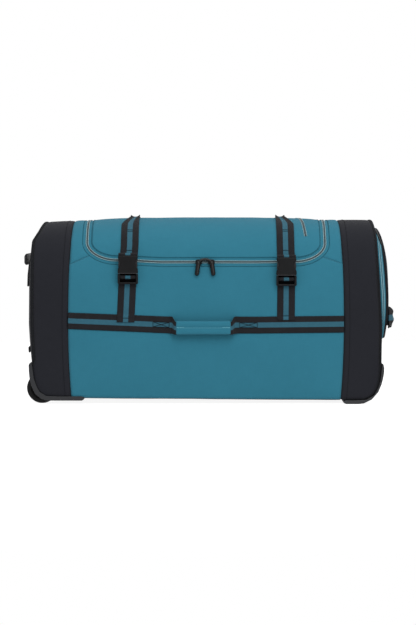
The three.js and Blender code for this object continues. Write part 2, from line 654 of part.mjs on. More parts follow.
// Front band of webbing, which leaves the wall in the middle to form the carrying handle.
const bandStops = [
  ...spread(-SEAM - 6, HANDLE.left, 8),
  HANDLE.left + 6,
  ...spread(GRIP.left - 1, GRIP.right + 1, 8),
  HANDLE.right - 6,
  ...spread(HANDLE.right, SEAM + 6, 8),
];
function bandAt(i, j) {
  const x = bandStops[i];
  const inside = Math.min(x - HANDLE.left, HANDLE.right - x);
  const away = Math.min(1, Math.max(0, inside / 12));
  const rise = x < 0 ? BAND_RISE * Math.max(0, (-x - 75) / 220) : 0;
  const half = between(BAND_HALF, HANDLE.half, away);
  const z = BAND_HEIGHT + rise - HANDLE.sag * away + half * (j - 1);
  return skin(x, runToHeight(z), 0.4 + WEB + HANDLE.stand * away);
}
add('front_band', wall(bandStops.length, 3, bandAt, WEB), 0x242426, 0.85);
const gripMiddle = skin(0, runToHeight(BAND_HEIGHT), 0.4 + WEB / 2 + HANDLE.stand).point.y;
const gripHeight = BAND_HEIGHT - HANDLE.sag;
const g = GRIP;
const gripOutline = [
  [g.left, gripHeight - g.half + 1], [g.left + 1, gripHeight - g.half], [g.right - 1, gripHeight - g.half],
  [g.right, gripHeight - g.half + 1], [g.right, gripHeight + g.half - 1], [g.right - 1, gripHeight + g.half],
  [g.left + 1, gripHeight + g.half], [g.left, gripHeight + g.half - 1],
];
const sleeve = new THREE.BoxGeometry(g.right - g.left + 4, WEB + 1.6, 2 * HANDLE.half + 1);
sleeve.translate((g.left + g.right) / 2, gripMiddle, gripHeight);
const grip = cut(slab(gripOutline, gripMiddle - g.thick / 2, g.thick), sleeve);
add('front_handle_grip', grip, 0x3a829b, 0.75);

// The origin is under the middle of the bag's whole length and depth.
duffel.position.set(-7.5, 10, 0);

export default duffel;
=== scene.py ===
import math

import bmesh
import bpy
import numpy as np
from mathutils import Matrix, Vector, noise
from mathutils.bvhtree import BVHTree


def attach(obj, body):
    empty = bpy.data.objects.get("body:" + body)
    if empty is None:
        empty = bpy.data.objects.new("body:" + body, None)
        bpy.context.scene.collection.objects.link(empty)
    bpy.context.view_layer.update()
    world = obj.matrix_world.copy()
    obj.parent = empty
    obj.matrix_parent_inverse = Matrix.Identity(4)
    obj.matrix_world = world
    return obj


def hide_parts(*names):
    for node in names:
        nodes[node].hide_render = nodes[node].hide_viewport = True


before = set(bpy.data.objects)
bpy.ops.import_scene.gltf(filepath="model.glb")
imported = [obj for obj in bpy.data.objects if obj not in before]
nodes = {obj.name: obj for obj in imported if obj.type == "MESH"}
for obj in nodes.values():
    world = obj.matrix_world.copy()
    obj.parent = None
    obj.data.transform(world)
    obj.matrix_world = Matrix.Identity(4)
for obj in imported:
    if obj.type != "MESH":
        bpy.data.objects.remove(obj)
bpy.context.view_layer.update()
scene = bpy.context.scene

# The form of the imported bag: upright walls, a domed top and softly rounded ends, in metres.
# Every sewn wall, strap and zip below lies on it, by place along the bag and run round the section.
MIDDLE = np.array([-0.0075, 0.010, 0.0])
HALF_DEPTH, CREST, WAIST, BASE, BASE_TILT = 0.180, 0.398, 0.170, 0.0097, 0.0026
TOP_POWER, BASE_POWER = 3.2, 48.0
END_X, END_DRAW = 0.370, 0.005
TUCK, TUCK_RUN, TUCK_FROM, TUCK_FADE = 0.003, 0.010, -0.62, 0.12
CREST_FALL = (0.005, 0.290), (0.003, 0.250)
HEIGHTS = [-1, -0.96, -0.92, -0.85, -0.75, -0.54, 0, 0.7, 0.82, 0.91, 1]
REACH = {
    -1: [0.335, 0.345, 0.3535, 0.361, 0.366, 0.370, 0.374, 0.374, 0.3725, 0.361, 0.352],
    1: [0.332, 0.3485, 0.357, 0.3655, 0.3705, 0.374, 0.375, 0.367, 0.366, 0.364, 0.361],
}

turns = np.linspace(0, 2 * math.pi, 3201)
sines, cosines = np.round(np.sin(turns), 9), np.round(np.cos(turns), 9)
powers = np.where(cosines < 0, TOP_POWER, BASE_POWER)
ring_across = -np.sign(sines) * np.abs(sines) ** (2 / powers)
ring_height = -np.sign(cosines) * np.abs(cosines) ** (2 / powers)
rises = np.diff(ring_height * np.where(ring_height > 0, CREST - WAIST, WAIST - BASE))
ring_run = np.concatenate([[0], np.cumsum(np.hypot(np.diff(ring_across) * HALF_DEPTH, rises))])
ROUND = ring_run[-1]


def reach(side, height):
    return np.where(side < 0, np.interp(height, HEIGHTS, REACH[-1]), np.interp(height, HEIGHTS, REACH[1]))


def section(run):
    at = np.mod(run, ROUND)
    return np.interp(at, ring_run, ring_across), np.interp(at, ring_run, ring_height)


def run_to(z, back=False):
    height = (z - WAIST) / np.where(z > WAIST, CREST - WAIST, WAIST - BASE)
    half = len(turns) // 2 + 1
    run = np.interp(height, ring_height[:half], ring_run[:half])
    return ROUND - run if back else run


def half_size(x, height):
    left, right = ((fall, (x / run) ** 2) for fall, run in CREST_FALL)
    fall = np.where(x < 0, left[0] * left[1], right[0] * np.minimum(1, right[1]))
    base = WAIST - BASE + BASE_TILT * x / END_X
    depth = HALF_DEPTH - END_DRAW * (np.abs(x) / END_X) ** 4
    return depth, np.where(height > 0, CREST - fall - WAIST, base)


def bag_form(x, run):
    across, height = section(run)
    tuck = TUCK * np.clip((np.abs(x) - reach(x, height)) / TUCK_RUN + 1, 0, None) ** 2
    tuck = tuck * np.clip((height - TUCK_FROM) / TUCK_FADE, 0, 1)
    depth, tall = half_size(x, height)
    return np.stack([x, (depth - tuck) * across, WAIST + (tall - tuck) * height], -1)


def unit(rows):
    return rows / np.maximum(np.linalg.norm(rows, axis=-1, keepdims=True), 1e-9)


def on_bag(x, run, lift=0.0):
    x, run, lift = np.broadcast_arrays(x, run, lift)
    step = 0.0006
    along = bag_form(x + step, run) - bag_form(x - step, run)
    around = bag_form(x, run + step) - bag_form(x, run - step)
    return bag_form(x, run) + unit(np.cross(along, around)) * lift[..., None] + MIDDLE


# Teal and black wall cloth: plain-woven polyester with a slightly uneven yarn.
# The weave follows each panel's cut, which its UV map holds in metres.
class Tone:
    def __init__(self, tree, socket=None):
        self.tree = tree
        self.socket = socket

    def node(self, kind, settings=None, sockets=None, out=0):
        made = self.tree.nodes.new("ShaderNode" + kind)
        for key, value in (settings or {}).items():
            setattr(made, key, value)
        for key, value in (sockets or {}).items():
            if isinstance(value, Tone):
                self.tree.links.new(value.socket, made.inputs[key])
            else:
                made.inputs[key].default_value = value
        return Tone(self.tree, made.outputs[out])

    def maths(self, operation, other=0.0):
        return self.node("Math", {"operation": operation}, {0: self, 1: other})

    def __add__(self, other):
        return self.maths("ADD", other)

    def __sub__(self, other):
        return self.maths("SUBTRACT", other)

    def __mul__(self, other):
        return self.maths("MULTIPLY", other)

    def __gt__(self, other):
        return self.maths("GREATER_THAN", other)

    def __lt__(self, other):
        return self.maths("LESS_THAN", other)

    def __abs__(self):
        return self.maths("ABSOLUTE")

    def wave(self, period):
        return (self * (2 * math.pi / period)).maths("SINE")

    def mix(self, low, high):
        low, high = ((*c, 1) if isinstance(c, tuple) else c for c in (low, high))
        return self.node("Mix", {"data_type": "RGBA"}, {0: self, 6: low, 7: high}, out=2)

    def axes(self):
        return [self.node("SeparateXYZ", None, {0: self}, out=k) for k in range(3)]

    def stretched(self, scale):
        return self.node("Mapping", None, {"Vector": self, "Scale": scale})

    def noise(self, scale, detail=2.0, roughness=0.5):
        sockets = {"Vector": self, "Scale": scale, "Detail": detail, "Roughness": roughness}
        return self.node("TexNoise", None, sockets)

    def bump(self, strength, distance):
        return self.node("Bump", None, {"Height": self, "Strength": strength, "Distance": distance})


def new_finish(name, roughness=0.8, **constant):
    material = bpy.data.materials.new(name)
    material.use_nodes = True
    shader = material.node_tree.nodes["Principled BSDF"]
    shader.inputs["Roughness"].default_value = roughness
    for key, value in constant.items():
        shader.inputs[key.replace("_", " ")].default_value = value
    return material, shader, Tone(material.node_tree)


def link(shader, **tones):
    for key, tone in tones.items():
        tone.tree.links.new(tone.socket, shader.inputs[key.replace("_", " ")])


MATT = {"Sheen_Weight": 0.03, "Specular_IOR_Level": 0.02}


def wall_cloth(name, shade, light, yarn=0.0009, bump=0.35):
    material, shader, start = new_finish(name, 0.82, Sheen_Roughness=0.6, **MATT)
    cut = start.node("UVMap", {"uv_map": "cut"})
    u, v, _ = cut.axes()
    over = u.wave(yarn * 2) * v.wave(yarn * 2)
    warp = cut.stretched((1 / yarn, 40.0, 1.0)).noise(1.0, 2.0)
    weft = cut.stretched((40.0, 1 / yarn, 1.0)).noise(1.0, 2.0)
    slub = (over > 0.0) * (warp - 0.5) + (over < 0.0) * (weft - 0.5)
    broad = cut.noise(7.0, 3.0) - 0.5
    worn = cut.noise(60.0, 2.0) - 0.5
    tone = slub * 0.85 + broad * 0.35 + worn * 0.22 + over * 0.06 + 0.5
    link(shader, Base_Color=tone.mix(shade, light), Roughness=worn * 0.2 + 0.8 + slub * 0.12)
    link(shader, Normal=(over + slub * 1.2 + worn * 1.5).bump(bump, 0.0002))
    return material


TEAL = (0.0130, 0.0815, 0.1185), (0.0210, 0.1160, 0.1650)
BLACK = (0.0076, 0.0080, 0.0104), (0.0128, 0.0134, 0.0170)
teal_cloth = wall_cloth("teal wall cloth", *TEAL)
black_cloth = wall_cloth("black wall cloth", *BLACK, yarn=0.0012, bump=0.5)


# Front wall, back wall and base: single cut panels, sewn together along the seams and to the end caps.
# Each swells a little between its seams, and its edges turn in where it is stitched.
SEAM, SEAM_BOW, SEAM_GAP, ALLOWANCE = 0.289, 0.007, 0.0003, 0.004
WALL_TALL, WALL_DIP, BASE_EDGE = 0.29, 0.0022, -0.978
LID_FRONT, LID_BACK, LID_HALF = 0.305, 0.330, 0.256
LID_CORNER_UP, LID_CORNER_ALONG = 0.045, 0.066
ZIP_FLAP, FOLD_DIP, SEAM_DIP = 0.0088, 0.0004, 0.0012
SWELL_RUN, STITCH_RUN, BROAD_WAVE, FINE_WAVE = 0.020, 0.0030, 0.0012, 0.0005
base_run = ring_run[np.argmax(ring_across < BASE_EDGE)]
zip_run = run_to(LID_FRONT)
hinge_run = run_to(LID_BACK, back=True)


def seam(run):
    return SEAM + SEAM_BOW * (1 - section(run)[1] ** 2)


def waves(a, b, tight_a, tight_b, layer):
    return np.array([noise.noise((p * tight_a, q * tight_b, layer)) for p, q in zip(a, b)])


def soft(x, run, edge, swell=0.0016, dip=WALL_DIP):
    broad, fine = waves(x, run, 9.0, 7.0, 3.1), waves(x, run, 26.0, 19.0, 8.7)
    inside = 1 - np.exp(-edge / SWELL_RUN)
    move = swell * inside + (BROAD_WAVE * broad + FINE_WAVE * fine) * inside
    return move - dip * np.exp(-((edge / STITCH_RUN) ** 2))


def laid(x, run, edge, raised=0.0, **how):
    return on_bag(x, run, raised + soft(x, run, edge, **how)), np.stack([x, run], -1)


def to_edge(part):
    return np.minimum(part, 1 - part)


def finished(bm, name, material):
    mesh = bpy.data.meshes.new(name)
    bm.to_mesh(mesh)
    bm.free()
    mesh.shade_smooth()
    mesh.materials.append(material)
    piece = bpy.data.objects.new(name, mesh)
    scene.collection.objects.link(piece)
    return piece


def graph_now():
    return bpy.context.evaluated_depsgraph_get()


def settle(piece, held, most=0.0014, pressure=4.0):
    rest = np.array([v.co for v in piece.data.vertices])
    piece.vertex_groups.new(name="sewn").add(held, 1.0, "REPLACE")
    filling = piece.modifiers.new("filling", "CLOTH")
    filling.settings.vertex_group_mass = "sewn"
    filling.settings.quality = 4
    filling.settings.use_pressure = True
    filling.settings.uniform_pressure_force = pressure
    filling.settings.effector_weights.gravity = 0
    for step in range(1, 21):
        scene.frame_set(step)
    posed = piece.evaluated_get(graph_now())
    moved = np.array([v.co for v in posed.data.vertices]) - rest
    size = np.maximum(np.linalg.norm(moved, axis=1, keepdims=True), 1e-9)
    piece.modifiers.remove(filling)
    scene.frame_set(1)
    for vert, point in zip(piece.data.vertices, rest + moved / size * most * np.tanh(size / most)):
        vert.co = point


def cut_cloth(name, columns, rows, place, material, thick=0.0024, joined=False, held=None):
    bm = bmesh.new()
    bmesh.ops.create_grid(bm, x_segments=columns, y_segments=rows, size=0.5)
    bm.verts.index_update()
    flat = np.array([v.co[:2] for v in bm.verts]) + 0.5
    points, cut = place(*flat.T)
    layer = bm.loops.layers.uv.new("cut")
    for face in bm.faces:
        for loop in face.loops:
            loop[layer].uv = cut[loop.vert.index]
    for vert, point in zip(bm.verts, points):
        vert.co = point
    if joined:
        bmesh.ops.remove_doubles(bm, verts=bm.verts, dist=0.00002)
    piece = finished(bm, name, material)
    if held:
        settle(piece, np.flatnonzero(held(*flat.T)).tolist())
    if thick:
        wall = piece.modifiers.new("cloth thickness", "SOLIDIFY")
        wall.thickness = thick
        wall.offset = -1
    return piece


def on_body(piece, node, body="bag"):
    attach(piece, body)
    if node:
        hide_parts(node)
    return piece


def curved_in(part):
    return 1 - np.sqrt(1 - (1 - part) ** 2)


def ease(part):
    return part * part * (3 - 2 * part)


def lid_edge(offset, above):
    part = np.clip((above + offset) / (LID_CORNER_UP + offset), 0, 1)
    return LID_HALF + offset - (LID_CORNER_ALONG + offset) * curved_in(part)


CORNER_X, CORNER_RUN, CORNER_FOOT = 0.251, zip_run + 0.0122, zip_run - 0.002
ZIP_BEND = {"from": 0.085, "over": 0.105, "left": 0.0055, "right": 0.0017}


def zip_rise(x):
    part = np.clip((np.abs(x) - ZIP_BEND["from"]) / ZIP_BEND["over"], 0, 1)
    return np.where(x < 0, ZIP_BEND["left"], ZIP_BEND["right"]) * ease(part)


def corner_seam(raised, along):
    return CORNER_RUN + raised + (CORNER_FOOT - CORNER_RUN - raised) * along


def front_top(x):
    a, raised = np.abs(x), zip_rise(x)
    part = np.clip((LID_HALF + ZIP_FLAP - a) / (LID_CORNER_ALONG + ZIP_FLAP), 0, 1)
    curve = raised + zip_run - ZIP_FLAP + (LID_CORNER_UP + ZIP_FLAP) * curved_in(part)
    along = np.clip((a - CORNER_X) / (SEAM + ALLOWANCE - CORNER_X), 0, 1)
    return np.where(a < CORNER_X, curve, corner_seam(raised, along))


def front_wall(s, t):
    x = (2 * s - 1) * (SEAM + ALLOWANCE)
    run = base_run + (front_top(x) - base_run) * t
    x = x * (seam(run) - SEAM_GAP) / (SEAM + ALLOWANCE)
    sides, foot, folded = to_edge(s) * 2 * SEAM, t * WALL_TALL + 0.001, (1 - t) * WALL_TALL
    sewn = np.minimum(sides, foot)
    turned_in = np.where(folded < sewn, np.abs(x) < CORNER_X, foot < sides)
    dip = np.where(turned_in, FOLD_DIP, SEAM_DIP)
    return laid(x, run, np.minimum(sewn, folded), dip=dip)


def back_wall(s, t):
    run = hinge_run + 2 * SEAM_GAP + (ROUND - base_run - hinge_run) * t
    x = (2 * s - 1) * (seam(run) - SEAM_GAP)
    return laid(x, run, np.minimum(to_edge(s) * 2 * SEAM, to_edge(t) * WALL_TALL))


def base_wall(s, t):
    run = (2 * t - 1) * (base_run - 0.0005)
    x = (2 * s - 1) * (seam(run) - SEAM_GAP)
    edge = np.minimum(to_edge(s) * 2 * SEAM, to_edge(t) * 2 * base_run)
    return laid(x, run, edge, swell=0.0, dip=FOLD_DIP)


HELD_SIDES, HELD_ENDS = 0.012, 0.02
UNDER_BAND, UNDER_BAND_HALF = 0.53, 0.075


def edges(s, t):
    return (to_edge(s) < HELD_SIDES) | (to_edge(t) < HELD_ENDS)


def front_edges(s, t):
    return edges(s, t) | (np.abs(t - UNDER_BAND) < UNDER_BAND_HALF)


front = cut_cloth("front_wall", 120, 72, front_wall, teal_cloth, held=front_edges)
back = cut_cloth("back_wall", 90, 48, back_wall, teal_cloth, held=edges)
base = cut_cloth("base_cloth", 60, 36, base_wall, black_cloth)
on_body(front, "front_panel")
on_body(back, "back_panel")
on_body(base, "base_panel")


# Lid and the strips beside it: the lid is a tongue with rounded front corners that the zip runs round.
# Its back edge is sewn to the back wall, and the strips join the lid's zip to the end caps.
HINGE_DIP, LID_DIP, LID_RAISED, LID_RISE_RUN = 0.0030, 0.0003, 0.0005, 0.03
ZIP_STEADY = [0.05, 0.16]


def zip_shift(x, run):
    return zip_rise(x) * np.interp(run - zip_run, ZIP_STEADY, [1, 0])


def lid_cut(s, t):
    run = zip_run + ZIP_FLAP + (hinge_run - 2 * SEAM_GAP - zip_run - ZIP_FLAP) * t**1.5
    half = lid_edge(-ZIP_FLAP, run - zip_run)
    x = (2 * s - 1) * half
    folded = np.minimum(to_edge(s) * 2 * half, run - zip_run - ZIP_FLAP)
    sewn = hinge_run - run
    run = run + zip_shift(x, run)
    dip = np.where(folded < sewn, LID_DIP, HINGE_DIP)
    raised = LID_RAISED * np.clip(sewn / LID_RISE_RUN, 0, 1)
    return laid(x, run, np.minimum(folded, sewn), raised, swell=0.0010, dip=dip)


SIDES = {"left": -1, "right": 1}
STRIP_WIDE, STRIP_LONG, STRIP_UNDER = 0.035, 0.43, 0.0014


def strip_cut(side):
    def place(s, t):
        s_in = s if side > 0 else 1 - s
        raised = zip_rise(side)
        low = corner_seam(raised, s_in)
        run = low - STRIP_UNDER + (hinge_run + STRIP_UNDER - 2 * SEAM_GAP - low) * t**1.3
        inner = lid_edge(ZIP_FLAP, np.maximum(run - raised, CORNER_RUN) - zip_run)
        x = side * (inner + (seam(run) - SEAM_GAP - inner) * s_in)
        folded = s_in * STRIP_WIDE
        sewn = np.minimum((1 - s_in) * STRIP_WIDE, np.minimum(t**1.3, 1 - t) * STRIP_LONG)
        dip = np.where(folded < sewn, FOLD_DIP, np.where(t < 0.2, HINGE_DIP, WALL_DIP))
        return laid(x, run, np.minimum(folded, sewn), swell=0.0012, dip=dip)

    return place


lid = on_body(cut_cloth("lid_cloth", 96, 84, lid_cut, teal_cloth, held=edges), "lid")
strips = []
for name, side in SIDES.items():
    strip = cut_cloth(f"{name}_strip_cloth", 8, 90, strip_cut(side), teal_cloth)
    strips.append(on_body(strip, f"{name}_top_strip"))


# End caps and end panels: heavier black cloth. Each cap is a sleeve sewn right round the bag,
# and each end is a domed panel set into the sleeve along the piping.
END_FACE = {-1: 0.387, 1: 0.381}
PIPING_INSET, RIM_DEPTH = 0.0022, 0.1705
RIM_ABOVE = {-1: 0.216, 1: 0.2205}
RIM_BELOW = {-1: 0.1475, 1: 0.1555}
CORNER_REACH = {-1: 0.0055, 1: 0.0014}
CORNER_FROM, CORNER_FADE, CAP_WIDE, CAP_SLACK, END_RIPPLE = 0.5, 0.06, 0.05, 0.006, 0.0016


def end_cap(side):
    def place(s, t):
        run, s_in = t * ROUND, s if side > 0 else 1 - s
        first = seam(run) + SEAM_GAP
        height = section(run)[1]
        last = reach(side, height) - PIPING_INSET
        last = last + CORNER_REACH[side] * np.clip((-height - CORNER_FROM) / CORNER_FADE, 0, 1)
        x = side * (first + (last - first) * s_in)
        edge = np.minimum(s_in * (last - first), (1 - s_in) * CAP_WIDE + CAP_SLACK)
        return laid(x, run, edge, swell=0.0008)

    return place


def end_face(side, y, z):
    below = z < WAIST
    a, b = np.abs(y) / RIM_DEPTH, (z - WAIST) / np.where(below, RIM_BELOW[side], RIM_ABOVE[side])
    size = np.maximum((a**TOP_POWER + np.abs(b) ** TOP_POWER) ** (1 / TOP_POWER), 1e-6)
    dome = (END_FACE[side] - reach(side, 0)) * (1 - a**4) * (1 - b**4)
    rim = reach(side, b / size)
    return side * np.where(below, reach(side, b) + dome, END_FACE[side] + (rim - END_FACE[side]) * size**4)


def end_panel(side):
    def place(s, t):
        run = (s if side > 0 else 1 - s) * ROUND
        across, height = section(run)
        y = RIM_DEPTH * across * t
        z = WAIST + np.where(height > 0, RIM_ABOVE[side], RIM_BELOW[side]) * height * t
        x = end_face(side, y, z) + side * END_RIPPLE * waves(y, z, 11.0, 9.0, 5.5 * side) * (1 - t**6)
        return np.stack([x, y, z], -1) + MIDDLE, np.stack([y, z], -1)

    return place


caps = {}
for name, side in SIDES.items():
    caps[name] = cut_cloth(f"{name}_cap_cloth", 16, 200, end_cap(side), black_cloth, joined=True)
    on_body(caps[name], f"{name}_end_cap")
for name, side in SIDES.items():
    end = cut_cloth(f"{name}_end_cloth", 160, 30, end_panel(side), black_cloth, joined=True)
    on_body(end, f"{name}_end_panel")


# Lid zip: a coil zip on teal tape that runs round the lid under the two turned cloth edges.
# A silver line is woven along each side of the coil, and a row of dark thread holds each turned edge, its
# darkness partly painted crease shade.
def lid_zip_path(side_steps=92, bend_steps=22, front_steps=95):
    corner_x, corner_run = LID_HALF - LID_CORNER_ALONG, zip_run + LID_CORNER_UP
    left = [(-LID_HALF, run) for run in np.linspace(hinge_run - 0.002, corner_run, side_steps)]
    for turn in np.linspace(0, math.pi / 2, bend_steps)[1:-1]:
        x = -corner_x - LID_CORNER_ALONG * math.cos(turn)
        left.append((x, corner_run - LID_CORNER_UP * math.sin(turn)))
    straight = [(x, zip_run) for x in np.linspace(-corner_x, corner_x, front_steps)]
    path = np.array(left + straight + [(-x, run) for x, run in reversed(left)])
    path[:, 1] += zip_shift(path[:, 0], path[:, 1])
    return path


def run_along(points):
    return np.concatenate([[0], np.cumsum(np.linalg.norm(np.diff(points, axis=0), axis=1))])


def beside(path, offset):
    ahead = unit(np.gradient(path, axis=0))
    return path + np.stack([ahead[:, 1], -ahead[:, 0]], -1) * offset


def rise_of(x, run, *cloths, above=0.030, far=0.040):
    graph = graph_now()
    trees = [BVHTree.FromObject(cloth, graph) for cloth in cloths]
    rises = []
    for low, high in zip(on_bag(x, run, 0.0), on_bag(x, run, above)):
        start, down = Vector(high), Vector(low - high).normalized()
        hits = [tree.ray_cast(start, down, far)[3] for tree in trees]
        rises.append(above - min([hit for hit in hits if hit is not None], default=above))
    return np.array(rises)


def ribbon(name, path, profile, material, thick=0.0, lift=0.0):
    offsets, lifts = np.array(profile).T
    lengths = run_along(path)
    rise = np.broadcast_to(lift, len(path))
    lanes = np.stack([beside(path, o) for o in offsets])

    def place(s, t):
        i = np.rint(s * (len(offsets) - 1)).astype(int)
        j = np.rint(t * (len(path) - 1)).astype(int)
        points = on_bag(lanes[i, j, 0], lanes[i, j, 1], lifts[i] + rise[j])
        return points, np.stack([offsets[i], lengths[j]], -1)

    return cut_cloth(name, len(offsets) - 1, len(path) - 1, place, material, thick)


def at_length(rows, lengths, at):
    return np.stack([np.interp(at, lengths, column) for column in rows.T], -1)


def thread_row(name, points, normals, material, pitch=0.0034, long=0.0026, half=0.0003):
    lengths = run_along(points)
    bm = bmesh.new()
    for at in np.arange(pitch / 2, lengths[-1], pitch):
        start, end = (at_length(points, lengths, at + part * long) for part in (-0.5, 0.5))
        out, ahead = Vector(at_length(normals, lengths, at)).normalized(), Vector(end - start)
        aside = out.cross(ahead).normalized()
        turn = Matrix((ahead.normalized(), aside, out)).transposed().to_4x4()
        size = Matrix.Diagonal((ahead.length, 2 * half, 2 * half, 1))
        place = Matrix.Translation(Vector((start + end) / 2))
        bmesh.ops.create_cube(bm, size=1, matrix=place @ turn @ size)
    return finished(bm, name, material)


THREAD_LIFT, UPWARD = 0.0002, 0.001


def sewn_row(name, path, material, *cloths, **how):
    lift = rise_of(*path.T, *cloths) + THREAD_LIFT
    low, high = on_bag(*path.T, lift), on_bag(*path.T, lift + UPWARD)
    return thread_row(name, low, (high - low) / UPWARD, material, **how)


def yarn(name, dark, light):
    material, shader, start = new_finish(name, 0.8, Specular_IOR_Level=0.03)
    place = start.node("TexCoord", out=3)
    link(shader, Base_Color=place.noise(900.0, 2.0).mix(dark, light))
    link(shader, Normal=place.noise(2500.0, 1.0).bump(0.4, 0.0001))
    return material


# Teal thread darker than the cloth: real stitching whose darkness also paints the crease shade along the
# zip's turned edges.
thread_with_crease_shade = yarn("teal thread", (0.0050, 0.036, 0.052), (0.0090, 0.054, 0.077))
black_thread = yarn("black thread", (0.003, 0.003, 0.0035), (0.007, 0.007, 0.008))


def coil_finish(name, low, high, pitch):
    material, shader, start = new_finish(name, 0.55, Specular_IOR_Level=0.2)
    u, v, _ = start.node("UVMap", {"uv_map": "cut"}).axes()
    tooth = (v + abs(u) * 0.6).wave(pitch) * 0.5 + 0.5
    link(shader, Base_Color=tooth.mix(low, high), Roughness=tooth * -0.2 + 0.62)
    link(shader, Normal=tooth.bump(0.8, 0.0004))
    return material


coil_cloth = coil_finish("zip coil", (0.012, 0.017, 0.020), (0.042, 0.056, 0.063), 0.0017)
silver_yarn = coil_finish("silver zip line", (0.110, 0.185, 0.205), (0.195, 0.315, 0.345), 0.0011)


ZIP_THICK = 0.0005


def zip_lines(name, path, node, gap, wide, lift):
    coil = [(-gap, -0.0006), (-0.7 * gap, 0.0001), (0.0, 0.0003), (0.7 * gap, 0.0001), (gap, -0.0006)]
    on_body(ribbon(name + "_coil", path, coil, coil_cloth, ZIP_THICK, lift), node)
    for key, side in (("a", -1), ("b", 1)):
        edge = [(0.0, -0.0004), (0.25, 0.0004), (0.75, 0.0004), (1.0, -0.0004)]
        line = [(side * (gap + part * wide), rise) for part, rise in edge][::side]
        on_body(ribbon(f"{name}_line_{key}", path, line, silver_yarn, ZIP_THICK, lift), None)


zip_path = lid_zip_path()
TAPE_HALF, TAPE_THICK = 0.0130, 0.0008
TAPE = [(offset, -TAPE_THICK) for offset in np.linspace(-TAPE_HALF, TAPE_HALF, 7)]
on_body(ribbon("lid_zip_tape", zip_path, TAPE, teal_cloth, TAPE_THICK), None)
zip_lines("lid_zip", zip_path, "lid_zip", gap=0.0015, wide=0.0017, lift=0.0004)
STITCH_ROWS = {"outer": (ZIP_FLAP + 0.0010, (front, *strips)), "inner": (-ZIP_FLAP - 0.0014, (lid,))}
for row, (offset, cloths) in STITCH_ROWS.items():
    line = beside(zip_path[3:-3], offset)
    thread = sewn_row(f"lid_zip_{row}_stitches", line, thread_with_crease_shade, *cloths, long=0.0031, half=0.0004)
    on_body(thread, None)


# Topstitching: a row of black thread on each end cap beside its seam with the teal walls.
# It holds the seam allowance flat and runs right round the bag.
cap_thread = yarn("cap thread", (0.0064, 0.0068, 0.0088), (0.0110, 0.0116, 0.0146))
STITCH_INSET = 0.0125
black_row = np.linspace(0, ROUND, 420)
for name, side in SIDES.items():
    line = np.stack([side * (seam(black_row) + STITCH_INSET), black_row], -1)
    thread = sewn_row(f"{name}_cap_stitches", line, cap_thread, caps[name], half=0.0004)
    on_body(thread, None)


# Lid pocket zip: a short length of the same coil zip with its two silver lines.
# It is let into the lid beside the right strap and bends a little towards it.
POCKET_ZIP_FROM, POCKET_ZIP_LONG, POCKET_ZIP_X, POCKET_ZIP_BEND = 0.361, 0.175, [0.215, 0.206], 0.005
along = np.linspace(0, 1, 44)
pocket_runs = run_to(POCKET_ZIP_FROM) + POCKET_ZIP_LONG * along
pocket_x = np.interp(along, [0, 1], POCKET_ZIP_X) - POCKET_ZIP_BEND * along**0.8
pocket_rise = rise_of(pocket_x, pocket_runs, lid) + 0.0005
pocket_path = np.stack([pocket_x, pocket_runs], -1)
zip_lines("lid_pocket", pocket_path, "lid_pocket_zip", gap=0.0020, wide=0.0015, lift=pocket_rise)


# Piping: a round filler in black binding, sewn into the seam between each end panel and its cap.
# On the left it stops at the wheel housings, and on the right it runs right round.
def rod(name, path, radius, material, beside_it=(1, 0, 0), sides=10, closed=False):
    path = np.vstack([path, path[:1]]) if closed else np.asarray(path)
    lengths = run_along(path)
    stops, scale = lengths, np.ones(len(lengths))
    if not closed:
        turn = np.linspace(0, math.pi / 2, 5)
        tip = radius * (1 - np.cos(turn))
        middle = lengths[(lengths > radius) & (lengths < lengths[-1] - radius)]
        stops = np.concatenate([tip, middle, lengths[-1] - tip[::-1]])
        scale = np.concatenate([np.sin(turn), np.ones(len(middle)), np.sin(turn[::-1])])
    centre = at_length(path, lengths, stops)
    ahead = np.gradient(centre, axis=0)
    if closed:
        ahead[0] = ahead[-1] = centre[1] - centre[-2]
    ahead = unit(ahead)
    first = unit(np.array(beside_it) - ahead * (ahead @ np.array(beside_it))[:, None])
    second = np.cross(ahead, first)

    def place(s, t):
        j = np.rint(t * (len(stops) - 1)).astype(int)
        a = (2 * math.pi * s)[:, None]
        points = centre[j] + radius * scale[j][:, None] * (np.cos(a) * first[j] + np.sin(a) * second[j])
        return points, np.stack([s * 2 * math.pi * radius, stops[j]], -1)

    return cut_cloth(name, sides, len(stops) - 1, place, material, 0, joined=True)


BINDING = (0.0044, 0.0047, 0.0058), (0.0080, 0.0085, 0.0102)
binding = wall_cloth("black binding", *BINDING, yarn=0.0007, bump=0.4)
PIPING_RADIUS, PIPING_FOOT, PIPING_OUT, PIPING_SUNK, PIPING_TUCKED = 0.0026, 0.030, 0.0004, 0.0016, 0.0050
PIPING_RUNS = {
    "left": np.linspace(run_to(PIPING_FOOT), run_to(PIPING_FOOT, back=True), 300),
    "right": np.linspace(0, ROUND, 321)[:-1],
}
for name, runs in PIPING_RUNS.items():
    side = SIDES[name]
    across, height = section(runs)
    x = side * (reach(side, height) + PIPING_OUT)
    inset = np.where((height < -CORNER_FROM) & (side < 0), PIPING_TUCKED, PIPING_SUNK)
    depth, tall = half_size(x, height)
    line = np.stack([x, (depth - inset) * across, WAIST + (tall - inset) * height], -1) + MIDDLE
    piping = rod(f"{name}_piping_binding", line, PIPING_RADIUS, binding, closed=name == "right")
    on_body(piping, f"{name}_piping")


